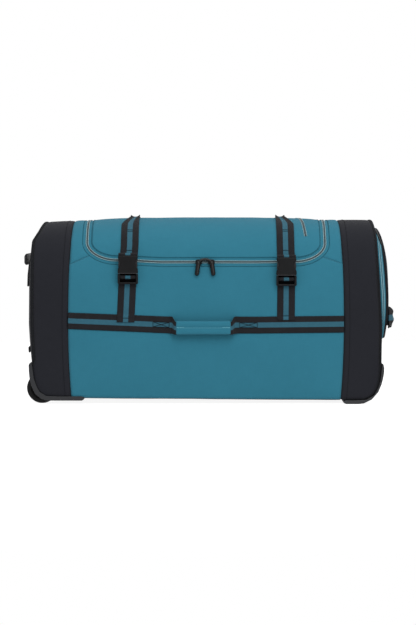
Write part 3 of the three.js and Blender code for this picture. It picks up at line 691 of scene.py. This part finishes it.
# Right end pocket: a domed black face on a teal gusset, closed by a zip along the gusset.
# Its edge is bound in black, and the zip's pull hangs at the front shoulder.
POCKET_Z, POCKET_Y, POCKET_TALL, POCKET_FACE = 0.256, 0.164, 0.125, 0.3965
FOOT_POWER, CROWN_POWER, STAND_LEAST, STAND_MORE = 3.4, 2.5, 0.003, 0.009
GUSSET_NARROWS, GUSSET_WIDE, GUSSET_OFF, GUSSET_RADIUS = 0.04, 0.012, 0.0016, 0.13
FACE_SIZE, FACE_OVER, FACE_RIPPLE, BINDING_RADIUS = 0.965, 0.0045, 0.0010, 0.0024


def pocket_rim(turn, size):
    c, d = np.cos(turn), np.sin(turn)
    power = np.where(d < 0, FOOT_POWER, CROWN_POWER)
    y = POCKET_Y * size * np.sign(c) * np.abs(c) ** (2 / power)
    return y, POCKET_Z + POCKET_TALL * size * np.sign(d) * np.abs(d) ** (2 / power)


def pocket_stand(turn):
    return STAND_LEAST + STAND_MORE * np.abs(np.cos(turn)) ** np.where(np.sin(turn) < 0, 6, 2)


def gusset_at(turn, part, lift=0.0):
    y, z = pocket_rim(turn, 1 - GUSSET_NARROWS * part)
    x = end_face(1, y, z) + GUSSET_OFF + part * pocket_stand(turn)
    return np.stack([x, y + np.cos(turn) * lift, z + np.sin(turn) * lift], -1) + MIDDLE


def gusset_band(name, turns, lanes, material, thick=0.0, joined=False):
    parts, lifts = np.array(lanes).T
    steps = np.linspace(0, 1, len(lanes))

    def place(s, t):
        turn = turns[0] + (turns[1] - turns[0]) * (1 - s)
        part, lift = np.interp(t, steps, parts), np.interp(t, steps, lifts)
        cut = [(part - 0.5) * GUSSET_WIDE, turn * GUSSET_RADIUS]
        return gusset_at(turn, part, lift), np.stack(cut, -1)

    return cut_cloth(name, int(40 * (turns[1] - turns[0])), len(lanes) - 1, place, material, thick, joined)


def pocket_face(s, t):
    turn = 2 * math.pi * s
    y, z = pocket_rim(turn, FACE_SIZE * t)
    edge = end_face(1, *pocket_rim(turn, 1 - GUSSET_NARROWS)) + FACE_OVER + pocket_stand(turn)
    ripple = FACE_RIPPLE * waves(y, z, 14.0, 12.0, 2.2) * (1 - t**4)
    x = POCKET_FACE + (edge - POCKET_FACE) * t**2.5 + ripple
    return np.stack([x, y, z], -1) + MIDDLE, np.stack([y, z], -1)


whole, zipped = (0, 2 * math.pi), (-0.75, math.pi + 0.75)
GUSSET = [(0, 0), (0.5, 0.001), (1, 0)]
gusset = gusset_band("pocket_gusset_cloth", whole, GUSSET, teal_cloth, 0.0016, joined=True)
on_body(gusset, "end_pocket_gusset")
COIL = [(0.43, 0.0016), (0.50, 0.0026), (0.57, 0.0016)]
on_body(gusset_band("pocket_zip_coil", zipped, COIL, coil_cloth, ZIP_THICK), "end_pocket_zip")
for key, low, high in (("a", 0.27, 0.43), ("b", 0.57, 0.73)):
    lanes = [(low, 0.0014), ((low + high) / 2, 0.0026), (high, 0.0014)]
    on_body(gusset_band(f"pocket_zip_line_{key}", zipped, lanes, silver_yarn, ZIP_THICK), None)
face = cut_cloth("pocket_face_cloth", 120, 26, pocket_face, black_cloth, 0.002, joined=True)
on_body(face, "end_pocket_panel")
rim = gusset_at(np.linspace(0, 2 * math.pi, 241)[:-1], 1.0, 0.0004)
edging = rod("pocket_edge_binding", rim, BINDING_RADIUS, binding, closed=True)
on_body(edging, None)


# Front band: black webbing with a teal stripe woven down its middle third, sewn across the front wall.
# Between two crossed boxes of thread it leaves the wall and narrows into the padded handle.
def webbing_finish(name, stripe=0.0055):
    material, shader, start = new_finish(name, 0.75, Sheen_Roughness=0.5, **MATT)
    cut = start.node("UVMap", {"uv_map": "cut"})
    u, v, _ = cut.axes()
    twill = (v + abs(u) * 0.8).wave(0.0019)
    rib = u.wave(0.0021)
    fibre = cut.stretched((900.0, 160.0, 1.0)).noise(1.0, 3.0) - 0.5
    wear = cut.noise(45.0, 3.0) - 0.5
    black_tone = fibre * 0.9 + wear * 0.5 + twill * 0.12 + 0.5
    black = black_tone.mix((0.0066, 0.0067, 0.0078), (0.0142, 0.0143, 0.0160))
    teal_tone = fibre * 0.9 + wear * 0.4 + twill * 0.15 + 0.5
    teal = teal_tone.mix((0.0150, 0.0540, 0.0780), (0.0270, 0.0880, 0.1220))
    inside = abs(u) + fibre * 0.0006 < stripe
    link(shader, Base_Color=inside.mix(black, teal), Roughness=fibre * 0.2 + 0.78)
    link(shader, Normal=(twill + rib * 0.5 + fibre).bump(0.55, 0.00025))
    return material


webbing = webbing_finish("striped webbing")
WEB, OFF_CLOTH, THIN_EDGE = 0.0016, 0.0003, 0.0004
BAND_Z, BAND_HALF, BAND_UNDER = 0.170, 0.018, 0.0065
LEFT_RISE, LEFT_FROM, LEFT_OVER = 0.0092, 0.075, 0.220
RIGHT_RISE, RIGHT_FROM, RIGHT_OVER = 0.002, 0.110, 0.185
LIFT_FROM, LIFT_OVER, FOLD_AT, FOLD_RUN, FOLD_CURL = 0.003, 0.008, 0.004, 0.006, 0.004
HANDLE_LEFT, HANDLE_RIGHT, HANDLE_STAND, HANDLE_SAG, HANDLE_HALF = -0.077, 0.066, 0.015, 0.006, 0.0138


def into_handle(x):
    return np.minimum(x - HANDLE_LEFT, HANDLE_RIGHT - x)


def band_line(x):
    away = ease(np.clip((into_handle(x) - LIFT_FROM) / LIFT_OVER, 0, 1))
    left_rise = LEFT_RISE * np.clip((-x - LEFT_FROM) / LEFT_OVER, 0, None)
    right_rise = RIGHT_RISE * np.clip((x - RIGHT_FROM) / RIGHT_OVER, 0, 1)
    return away, BAND_Z + np.where(x < 0, left_rise, right_rise) - HANDLE_SAG * away


def band_cloth(s, t):
    x, side = (2 * s - 1) * (SEAM + BAND_UNDER), 2 * t - 1
    away, middle = band_line(x)
    half = BAND_HALF + (HANDLE_HALF - BAND_HALF) * away
    fold = np.exp(-(((into_handle(x) - FOLD_AT) / FOLD_RUN) ** 2))
    run = run_to(middle + side * half)
    curl = FOLD_CURL * fold * np.abs(side) ** 3
    rise = np.maximum(rise_of(x, run, front), 0) + WEB + OFF_CLOTH
    rise = rise + HANDLE_STAND * away + curl - THIN_EDGE * np.abs(side) ** 8
    return on_bag(x, run, rise), np.stack([side * BAND_HALF, x], -1)


band = on_body(cut_cloth("front_band_webbing", 260, 14, band_cloth, webbing, WEB), "front_band")
BOX_TALL = 0.0054
BOX_LINES = {
    "cross_a": ((0, -1), (1, 1)), "cross_b": ((0, 1), (1, -1)), "top": ((0, 1), (1, 1)),
    "foot": ((0, -1), (1, -1)), "outer": ((0, -1), (0, 1)), "inner": ((1, -1), (1, 1)),
}
BOX_ENDS = {"left": (-0.1135, -0.0790), "right": (0.0720, 0.1100)}
BOX_THREAD = {"pitch": 0.0022, "long": 0.0019, "half": 0.0005}
for name, ends in BOX_ENDS.items():
    for key, (start, stop) in BOX_LINES.items():
        x = np.linspace(ends[start[0]], ends[stop[0]], 14)
        up = np.linspace(start[1], stop[1], 14) * BOX_TALL
        line = np.stack([x, run_to(band_line(x)[1] + up)], -1)
        thread = sewn_row(f"band_{name}_box_{key}", line, black_thread, band, **BOX_THREAD)
        on_body(thread, None)


# Closing straps: two lengths of the same webbing over the lid, each in an upper and a lower part.
# The upper one is sewn to the back wall and gathers into a fold over the crest, the lower one to the band.
STRAP_HALF, STRAP_NARROWS, STRAP_DRIFT, STRAP_LIFT = 0.019, 0.0098, 0.009, 0.0040
STRAP_OFF, STRAP_THIN_EDGE, TACK_HALF = 0.0004, 0.0005, 0.0055
CREST_RUN = ROUND / 2
PEAK_AT, PEAK_RUN, PEAK_LIFT, PEAK_CURL, GATHER_CURL = CREST_RUN - 0.025, 0.045, 0.0010, 0.0034, 0.0012
GATHER_FROM, GATHER_FULL, GATHER_LAST, GATHER_OUT = CREST_RUN + np.array([-0.105, -0.049, 0.047, 0.117])
STRAPS = {
    "left": {"sign": -1, "top": -0.164, "buckle": -0.167, "foot": -0.1722, "end": 0.176, "low": 0.258},
    "right": {"sign": 1, "top": 0.171, "buckle": 0.172, "foot": 0.171, "end": 0.181, "low": 0.254},
}


def strap_middle(strap, run):
    gather = np.interp(run, [GATHER_FROM, GATHER_FULL, CREST_RUN + 0.087], [0, 1, 0.7])
    stops = [run_to(strap["end"]), run_to(0.290), run_to(0.340)]
    straight = np.interp(run, stops, [strap["foot"], strap["buckle"], strap["top"]])
    return straight - strap["sign"] * STRAP_DRIFT * gather


def strap_cloth(name, strap, low, high, rows, cloths):
    def place(s, t):
        run, side = low + (high - low) * t, 2 * s - 1
        gather = np.interp(run, [GATHER_FROM, GATHER_FULL, GATHER_LAST, GATHER_OUT], [0, 1, 1, 0])
        peak = np.exp(-(((run - PEAK_AT) / PEAK_RUN) ** 2))
        x = strap_middle(strap, run) + side * (STRAP_HALF - STRAP_NARROWS * gather)
        rise = np.maximum(rise_of(x, run, *cloths) + WEB + STRAP_OFF, STRAP_LIFT)
        rise = rise + PEAK_LIFT * peak + (PEAK_CURL * peak + GATHER_CURL * gather) * np.abs(side) ** 2.5
        rise = rise - STRAP_THIN_EDGE * np.abs(side) ** 8
        return on_bag(x, run, rise), np.stack([side * STRAP_HALF, run], -1)

    return cut_cloth(name, 14, rows, place, webbing, WEB)


SEWN_BEHIND, UNDER_SOCKET = 0.250, 0.300
TACK_THREAD = {"pitch": 0.0016, "long": 0.0014, "half": 0.0005}
for side, strap in STRAPS.items():
    ends = run_to(UNDER_SOCKET), run_to(SEWN_BEHIND, back=True)
    upper = strap_cloth(f"{side}_upper_webbing", strap, *ends, 120, (front, lid, back))
    on_body(upper, f"{side}_strap_upper")
    ends = run_to(strap["end"]), run_to(strap["low"] + 0.004)
    lower = strap_cloth(f"{side}_lower_webbing", strap, *ends, 40, (front, band))
    on_body(lower, f"{side}_strap_lower")
    tacks = [(0.3686, upper), (0.3716, upper), (0.3290, upper), (strap["end"] + 0.009, lower)]
    for k, (z, cloth) in enumerate(tacks):
        run = np.full(5, run_to(z))
        line = np.stack([strap_middle(strap, run) + np.linspace(-TACK_HALF, TACK_HALF, 5), run], -1)
        tack = sewn_row(f"{side}_strap_tack_{k}", line, black_thread, cloth, **TACK_THREAD)
        on_body(tack, None)


# Side-release buckles: moulded black plastic, the socket above on the upper strap and the plug below.
# The strap shows through the plug's window, over the bar that it is threaded on, against a near-black
# plate of painted shade.
def moulded(name, dark, light, roughness=0.42, grain=900.0, shine=0.14):
    material, shader, start = new_finish(name, roughness, Specular_IOR_Level=shine)
    place = start.node("TexCoord", out=3)
    pores, scuffs = place.noise(grain, 2.0) - 0.5, place.noise(38.0, 4.0, 0.65) - 0.5
    tone = pores * 0.4 + scuffs * 0.7 + 0.5
    link(shader, Base_Color=tone.mix(dark, light), Roughness=scuffs * 0.3 + roughness)
    link(shader, Normal=pores.bump(0.25, 0.00015))
    return material


BUCKLE_TONES = {
    "buckle": ((0.0022, 0.0023, 0.0026), (0.0052, 0.0054, 0.0060), 0.34, 900.0, 0.09),
    # Paler plastic for the socket's lower lip: a painted highlight where that edge catches the light.
    "painted highlight": ((0.0120, 0.0120, 0.0132), (0.0230, 0.0230, 0.0250), 0.34, 900.0, 0.20),
    "prong": ((0.0060, 0.0060, 0.0068), (0.0110, 0.0110, 0.0122), 0.36, 900.0, 0.14),
    # Near-black matt plastic: painted shade for the deep shadow inside the plug's window.
    "painted shade": ((0.0006, 0.0006, 0.0007), (0.0014, 0.0014, 0.0016), 0.90, 900.0, 0.01),
}
plastics = {key: moulded(f"{key} plastic", *tones) for key, tones in BUCKLE_TONES.items()}
SOCKET = [
    (0.0213, 0.0004), (0.0219, 0.0040), (0.0213, 0.0100), (0.0186, 0.0155), (0.0164, 0.0205),
    (0.0160, 0.0240), (0.0172, 0.0275), (0.0202, 0.0308), (0.0212, 0.0350), (0.0202, 0.0390),
]
PLUG_TALL, BUCKLE_LIFT = 0.0220, 0.0058
ARM = [(0.0146, 0.0140), (0.0206, 0.0140), (0.0198, 0.0300), (0.0146, 0.0300)]
RAIL = [(0.0172, 0.0), (0.0205, 0.0), (0.0217, 0.002), (0.0217, PLUG_TALL), (0.0172, PLUG_TALL)]


def mirrored(outline):
    return [(-x, z) for x, z in outline]


def bar(half, low, high):
    return [(-half, low), (half, low), (half, high), (-half, high)]


LIP, SHADE_PLATE = bar(0.0205, 0.0004, 0.0017), bar(0.0174, 0.0030, 0.0224)
FOOT_BAR, WEB_BAR = bar(0.0176, 0.0, 0.0038), bar(0.0176, 0.0118, 0.0170)
SOCKET_FORMS = [(SOCKET + mirrored(SOCKET)[::-1], 0.0100, 0.0)]
PRONG_FORMS = [(mirrored(ARM), 0.0074, 0.0022), (ARM, 0.0074, 0.0022)]
PLUG_FORMS = [(mirrored(RAIL), 0.0094, 0.0006), (RAIL, 0.0094, 0.0006)]
PLUG_FORMS += [(FOOT_BAR, 0.0094, 0.0012), (WEB_BAR, 0.0050, 0.0012)]
BUCKLE_PIECES = {  # solid, plastic, edge radius and steps, height, outlines with two depths
    "socket_moulding": ("buckle_socket", "buckle", 0.0020, 3, PLUG_TALL, SOCKET_FORMS),
    # A thin bead under the socket that carries the painted highlight of its lower edge.
    "socket_highlight_lip": (None, "painted highlight", 0.0004, 2, PLUG_TALL, [(LIP, 0.0108, 0.0080)]),
    "plug_moulding": ("buckle_plug", "buckle", 0.0009, 2, 0.0, PLUG_FORMS),
    "plug_prongs": (None, "prong", 0.0009, 2, PLUG_TALL, PRONG_FORMS),
    # A near-black plate behind the plug's window: painted shade, not a moulded part.
    "plug_painted_shade": (None, "painted shade", 0.0003, 1, 0.0, [(SHADE_PLATE, 0.0022, 0.0010)]),
}


def prism(bm, outline, front, back):
    face = bm.faces.new([bm.verts.new((x, front, z)) for x, z in outline])
    grown = bmesh.ops.extrude_face_region(bm, geom=[face])
    moved = [v for v in grown["geom"] if isinstance(v, bmesh.types.BMVert)]
    bmesh.ops.translate(bm, vec=(0, back - front, 0), verts=moved)
    bmesh.ops.recalc_face_normals(bm, faces=bm.faces)


BEVEL = {"profile": 0.5, "affect": "EDGES", "material": -1}


def cast(bm, name, material, radius, segments=3, sharp=50):
    edges = [e for e in bm.edges if e.is_manifold and e.calc_face_angle(0) > math.radians(sharp)]
    bmesh.ops.bevel(bm, geom=edges, offset=radius, segments=segments, clamp_overlap=True, **BEVEL)
    bmesh.ops.dissolve_degenerate(bm, dist=0.000002, edges=bm.edges)
    piece = finished(bm, name, material)
    piece.modifiers.new("even faces", "WEIGHTED_NORMAL")
    return piece


WEB_FOLDS = {  # how far out and up, half width, depth, half height
    "loop": (0.0012, 0.0146, 0.0168, 0.0058, 0.0044),
    "collar": (0.0026, 0.0630, 0.0202, 0.0052, 0.0036),
}


def folded_web(name, x, y, z, half, deep, tall):
    def place(s, t):
        turn, off = math.pi * (t - 0.5), (2 * s - 1) * half
        points = np.stack([x + off, y - deep * np.cos(turn), z + tall * np.sin(turn)], -1)
        return points, np.stack([off, turn * 0.005], -1)

    on_body(cut_cloth(name, 12, 16, place, webbing, 0.0012), None)


for side, strap in STRAPS.items():
    low = strap["low"]
    mid_x, back_y, _ = on_bag(strap["buckle"], run_to(low), BUCKLE_LIFT)
    for name, (node, plastic, radius, segments, up, forms) in BUCKLE_PIECES.items():
        bm = bmesh.new()
        for outline, start, stop in forms:
            prism(bm, [(mid_x + x, low + up + z) for x, z in outline], back_y - start, back_y - stop)
        piece = cast(bm, f"{side}_{name}", plastics[plastic], radius, segments)
        on_body(piece, node and f"{side}_{node}")
    for name, (out, up, *sizes) in WEB_FOLDS.items():
        folded_web(f"{side}_strap_{name}", mid_x, back_y - out, low + up, *sizes)


# Zip sliders and pulls: the lid's two sliders meet in the middle of the front, each with a moulded pull.
# The end pocket's zip has one pull, lying along the gusset at its front shoulder.
def rounded(node, name, material, radius, segments=2, sharp=28):
    bm = bmesh.new()
    bm.from_mesh(nodes[node].data)
    bmesh.ops.transform(bm, matrix=nodes[node].matrix_world, verts=bm.verts)
    bmesh.ops.remove_doubles(bm, verts=bm.verts, dist=0.00001)
    bmesh.ops.dissolve_limit(bm, angle_limit=math.radians(2), verts=bm.verts, edges=bm.edges)
    on_body(cast(bm, name, material, radius, segments, sharp), node)


PULL_TONES = (0.0010, 0.0010, 0.0012), (0.0030, 0.0030, 0.0034)
pull_plastic = moulded("pull plastic", *PULL_TONES, 0.26, 1400.0, 0.18)
PULL_TOP, PULL_BEND, PULL_FOOT = 0.3055, 0.2980, 0.2745
PULL_LIFTS, PULL_RADIUS, END_PULL_RADIUS = [0.0056, 0.0066, 0.0082], 0.0050, 0.0017
PULLS = {"left": (-0.0200, -0.0155), "right": (0.0165, 0.0115)}
ARCH_X, ARCH_Z, ARCH_HALF, ARCH_TALL = -0.002, 0.3020, 0.0132, 0.0058
ARCH_LIFT, ARCH_RADIUS = 0.0084, 0.0029
for side, foot_and_top in PULLS.items():
    rounded(f"zip_slider_{side}", f"{side}_slider_casting", plastics["buckle"], 0.0012)
    heights = np.linspace(PULL_TOP, PULL_FOOT, 12)
    xs = np.interp(heights, [PULL_FOOT, PULL_TOP], foot_and_top)
    lifts = np.interp(heights, [PULL_FOOT, PULL_BEND, PULL_TOP], PULL_LIFTS)
    line = on_bag(xs, run_to(heights), lifts)
    pull = rod(f"{side}_pull_moulding", line, PULL_RADIUS, pull_plastic, (0, 1, 0), 14)
    on_body(pull, f"zip_pull_{side}")
bow = np.linspace(0, math.pi, 21)
arch_x, arch_z = ARCH_X + ARCH_HALF * np.cos(bow), ARCH_Z + ARCH_TALL * np.sin(bow)
arch = on_bag(arch_x, run_to(arch_z), ARCH_LIFT)
on_body(rod("slider_arch", arch, ARCH_RADIUS, pull_plastic, (0, 1, 0), 14), None)
pull_line = gusset_at(np.linspace(2.02, 2.45, 12), np.linspace(0.2, 1.0, 12), 0.0044)
on_body(rod("end_pull_moulding", pull_line, END_PULL_RADIUS, pull_plastic), "end_zip_pull")


# End handle: a length of the striped webbing, sewn to the face of the end pocket at both ends.
# It stands off the face in its middle, where its edges curl back to fit a hand.
HANDLE_X, HANDLE_OUT, HANDLE_Z = 0.3996, 0.413, 0.181
HANDLE_LONG, HANDLE_TALL, HANDLE_FREE, HANDLE_EASE = 0.190, 0.044, 0.075, 0.040
HANDLE_CURL, HANDLE_WAVE = 0.0050, 0.0012


def end_handle(s, t):
    y, side = (s - 0.5) * HANDLE_LONG, 2 * t - 1
    near = ease(np.clip((HANDLE_FREE - np.abs(y)) / HANDLE_EASE, 0, 1))
    curl = HANDLE_CURL * near * np.abs(side) ** 3 + HANDLE_WAVE * near * np.sin(7 * side)
    x = HANDLE_X + (HANDLE_OUT - HANDLE_X) * near - curl - THIN_EDGE * np.abs(side) ** 8
    points = np.stack([x, y, HANDLE_Z + HANDLE_TALL / 2 * side], -1) + MIDDLE
    return points, np.stack([side * STRAP_HALF, y], -1)


on_body(cut_cloth("end_handle_webbing", 60, 20, end_handle, webbing, WEB), "end_handle")


# Carrying grip: a teal padded sleeve closed round the middle of the band and sewn along its front.
# The padding fills it to either side of that seam, which a row of paler thread holds down.
GRIP_LEFT, GRIP_RIGHT, GRIP_HALF, GRIP_THICK = -0.064, 0.053, 0.0148, 0.0092
GRIP_LONG, GRIP_SEAM, SEAM_SUNK = GRIP_RIGHT - GRIP_LEFT, 0.0012, 0.0012
GRIP_ROUND, GRIP_MESH, END_HELD, SEAM_HELD = 0.0036, 0.0022, 0.0025, 0.0016
grip_y = on_bag(0.0, run_to(BAND_Z), 0.0014 + HANDLE_STAND)[1]
grip_x = (GRIP_LEFT + GRIP_RIGHT) / 2 + MIDDLE[0]
grip_middle = Vector((grip_x, grip_y, BAND_Z - HANDLE_SAG + 0.0006))
bm = bmesh.new()
bmesh.ops.create_cube(bm, size=1)
bmesh.ops.scale(bm, vec=(GRIP_LONG, GRIP_THICK, 2 * GRIP_HALF), verts=bm.verts)
bmesh.ops.translate(bm, vec=grip_middle, verts=bm.verts)
long_edges = [e for e in bm.edges if abs(e.verts[0].co.x - e.verts[1].co.x) > 0.01]
bmesh.ops.bevel(bm, geom=long_edges, offset=GRIP_ROUND, segments=4, **BEVEL)
grip = finished(bm, "grip_sleeve", teal_cloth)
even = grip.modifiers.new("even mesh", "REMESH")
even.mode = "VOXEL"
even.voxel_size = GRIP_MESH
even.use_smooth_shade = True
evened = bpy.data.meshes.new_from_object(grip.evaluated_get(graph_now()))
grip.modifiers.remove(even)
grip.data = evened
held = []
for vert in grip.data.vertices:
    from_middle = vert.co - grip_middle
    at_end = abs(from_middle.x) > GRIP_LONG / 2 - END_HELD
    on_seam = from_middle.y < 0 and abs(from_middle.z - GRIP_SEAM) < SEAM_HELD
    if on_seam:
        vert.co.y += SEAM_SUNK
    if at_end or on_seam:
        held.append(vert.index)
settle(grip, held, most=0.0018, pressure=8.0)
layer = grip.data.uv_layers.new(name="cut")
for loop in grip.data.loops:
    place = grip.data.vertices[loop.vertex_index].co
    layer.data[loop.index].uv = (place.x, place.z)
smoother = grip.modifiers.new("rounder", "SUBSURF")
smoother.levels = smoother.render_levels = 1
on_body(grip, "front_handle_grip")

pale_thread = yarn("pale teal thread", (0.060, 0.200, 0.250), (0.110, 0.300, 0.360))
grip_tree = BVHTree.FromObject(grip, graph_now())
seam_x = np.linspace(GRIP_LEFT + 0.001, GRIP_RIGHT - 0.001, 60) + MIDDLE[0]
GRIP_ROWS = {
    "seam": (seam_x, 0.0, 0.0003),
    "left_end": (seam_x[:10], GRIP_SEAM, 0.0005),
    "right_end": (seam_x[-10:], GRIP_SEAM, 0.0005),
}
for key, (xs, up, half) in GRIP_ROWS.items():
    starts = [Vector((x, -0.3, grip_middle.z + up)) for x in xs]
    hits = [grip_tree.ray_cast(start, Vector((0, 1, 0)))[0] for start in starts]
    line = np.array([hit for hit in hits if hit is not None]) - np.array([0, 0.0002, 0])
    outward = np.tile([0.0, -1.0, 0.0], (len(line), 1))
    on_body(thread_row(f"grip_{key}_stitches", line, outward, pale_thread, half=half), None)


# Left end fittings: a moulded plate that holds the bar which the bag stands on when upright.
# A moulded rib crosses the end lower down. All three are black plastic fixed to the end panel.
PLATE_TONES = (0.0060, 0.0061, 0.0066), (0.0120, 0.0123, 0.0130)
BAR_TONES = (0.0150, 0.0153, 0.0160), (0.0260, 0.0263, 0.0275)
plate_plastic = moulded("end plate plastic", *PLATE_TONES, 0.40, 700.0)
bar_plastic = moulded("foot bar plastic", *BAR_TONES, 0.32, 700.0)
rounded("foot_plate", "foot_plate_moulding", plate_plastic, 0.0014, sharp=40)
rounded("foot_bar", "foot_bar_moulding", bar_plastic, 0.0050, segments=4)
rounded("end_rib", "end_rib_moulding", plate_plastic, 0.0012, sharp=40)


# Wheel housings: black mouldings wrapped under the left corners, each with a well for its wheel.
# They carry the wheels' pins and close the left cap's lower corners.
HOUSING_TONES = (0.0125, 0.0129, 0.0144), (0.0225, 0.0232, 0.0256)
housing_plastic = moulded("housing plastic", *HOUSING_TONES, 0.45, 800.0)
ENDS = {"front": -1, "back": 1}
for end in ENDS:
    rounded(f"wheel_housing_{end}", f"{end}_housing_moulding", housing_plastic, 0.0012)


# Wheels: moulded rubber tyres with cross ribs either side of a groove, on plain dished hubs.
# Each turns on a steel pin held in its housing.
tyre = moulded("tyre rubber", (0.0030, 0.0030, 0.0032), (0.0070, 0.0070, 0.0072), 0.7, 600.0)
WHEEL_X, WHEEL_Z, WHEEL_Y = -0.3535, 0.033, 0.138
HALF_PROFILE = [
    (0.0037, 0.0130), (0.0110, 0.0130), (0.0125, 0.0120), (0.0140, 0.0100), (0.0220, 0.0100),
    (0.0232, 0.0122), (0.0245, 0.0130), (0.0295, 0.0130), (0.0315, 0.0115), (0.0330, 0.0090),
    (0.0330, 0.0030), (0.0324, 0.0020),
]
WHEEL_PROFILE = [(r, -y) for r, y in HALF_PROFILE] + HALF_PROFILE[::-1]
TREAD_FROM, TREAD_NEAR, TREAD_FAR, RIBS = 0.0326, 0.003, 0.009, 36
for end, sign in ENDS.items():
    bm = bmesh.new()
    centre = Vector((WHEEL_X, sign * WHEEL_Y, WHEEL_Z)) + Vector(MIDDLE)
    ring_verts = [bm.verts.new(centre + Vector((r, y, 0))) for r, y in WHEEL_PROFILE]
    ring_edges = [bm.edges.new(pair) for pair in zip(ring_verts, ring_verts[1:] + ring_verts[:1])]
    bmesh.ops.spin(
        bm, geom=ring_verts + ring_edges, cent=centre, axis=(0, 1, 0), angle=2 * math.pi, steps=2 * RIBS,
        use_merge=True,
    )
    bmesh.ops.remove_doubles(bm, verts=bm.verts, dist=0.00001)
    bmesh.ops.recalc_face_normals(bm, faces=bm.faces)
    treads = []
    for face in bm.faces:
        out = face.calc_center_median() - centre
        on_tread = math.hypot(out.x, out.z) > TREAD_FROM and TREAD_NEAR < abs(out.y) < TREAD_FAR
        if on_tread and math.floor(math.atan2(out.z, out.x) * RIBS / math.pi) % 2:
            treads.append(face)
    bmesh.ops.inset_individual(bm, faces=treads, thickness=0.0003, depth=-0.0010)
    wheel = finished(bm, f"{end}_wheel_tyre", tyre)
    wheel.modifiers.new("even faces", "WEIGHTED_NORMAL")
    on_body(wheel, f"wheel_{end}", f"{end}_wheel")
steel, steel_shader, steel_start = new_finish("pin steel", 0.3, Metallic=1.0)
steel_grain = steel_start.node("TexCoord", out=3).stretched((1.0, 40.0, 1.0)).noise(80.0, 3.0)
steel_tone = steel_grain.mix((0.30, 0.30, 0.31), (0.46, 0.46, 0.47))
link(steel_shader, Base_Color=steel_tone, Roughness=steel_grain * 0.25 + 0.2)
for end in ENDS:
    rounded(f"axle_{end}", f"{end}_axle_pin", steel, 0.0005)


# Corner guards: hard black mouldings fixed round the right cap's lower corners.
# The bag rests on their flat undersides and on its wheels.
GUARD_TONES = (0.0135, 0.0139, 0.0152), (0.0245, 0.0252, 0.0274)
guard_plastic = moulded("guard plastic", *GUARD_TONES, 0.40, 800.0, 0.16)
for end in ENDS:
    rounded(f"corner_guard_{end}", f"{end}_guard_moulding", guard_plastic, 0.0020)


# Studio: a plain pale floor in a white surround, with three large soft lights.
# The camera stands in front of the long side, a little above the bag's middle.
scene.view_settings.view_transform = "Standard"
world = bpy.data.worlds.new("white surround")
world.use_nodes = True
surround = world.node_tree.nodes["Background"].inputs
surround["Color"].default_value = (1, 1, 1, 1)
surround["Strength"].default_value = 1.0
scene.world = world

GLOW = {"Emission_Color": (1, 1, 1, 1), "Emission_Strength": 0.9}
floor_finish, floor_shader, floor_start = new_finish("pale floor", 0.9, **GLOW)
floor_grain = floor_start.node("TexCoord", out=3).noise(3.0)
link(floor_shader, Base_Color=floor_grain.mix((0.20, 0.20, 0.20), (0.24, 0.24, 0.24)))
bm = bmesh.new()
bmesh.ops.create_grid(bm, x_segments=1, y_segments=1, size=2.4)
floor = finished(bm, "floor", floor_finish)

for name, place, size, power in (
    ("key light", (0.4, -2.3, 2.5), 2.2, 62),
    ("fill light", (1.6, -3.6, 1.8), 3.0, 60),
    ("top light", (0.0, 0.6, 3.4), 3.0, 38),
):
    lamp = bpy.data.lights.new(name, "AREA")
    lamp.size = size
    lamp.energy = power
    lamp_object = bpy.data.objects.new(name, lamp)
    lamp_object.location = place
    aim = Vector((0, 0, 0.2)) - Vector(place)
    lamp_object.rotation_euler = aim.to_track_quat("-Z", "Y").to_euler()
    scene.collection.objects.link(lamp_object)

camera_data = bpy.data.cameras.new("camera")
camera_data.sensor_fit = "HORIZONTAL"
camera_data.sensor_width = 36
camera_data.lens = 202
camera_data.clip_end = 100
camera = bpy.data.objects.new("camera", camera_data)
target = Vector((0.0043, -HALF_DEPTH, 0.1968)) + Vector(MIDDLE)
tilt, distance = math.radians(2.2), 5.0
camera.location = target + Vector((0, -math.cos(tilt), math.sin(tilt))) * distance
camera.rotation_euler = (target - camera.location).to_track_quat("-Z", "Y").to_euler()
scene.collection.objects.link(camera)
scene.camera = camera
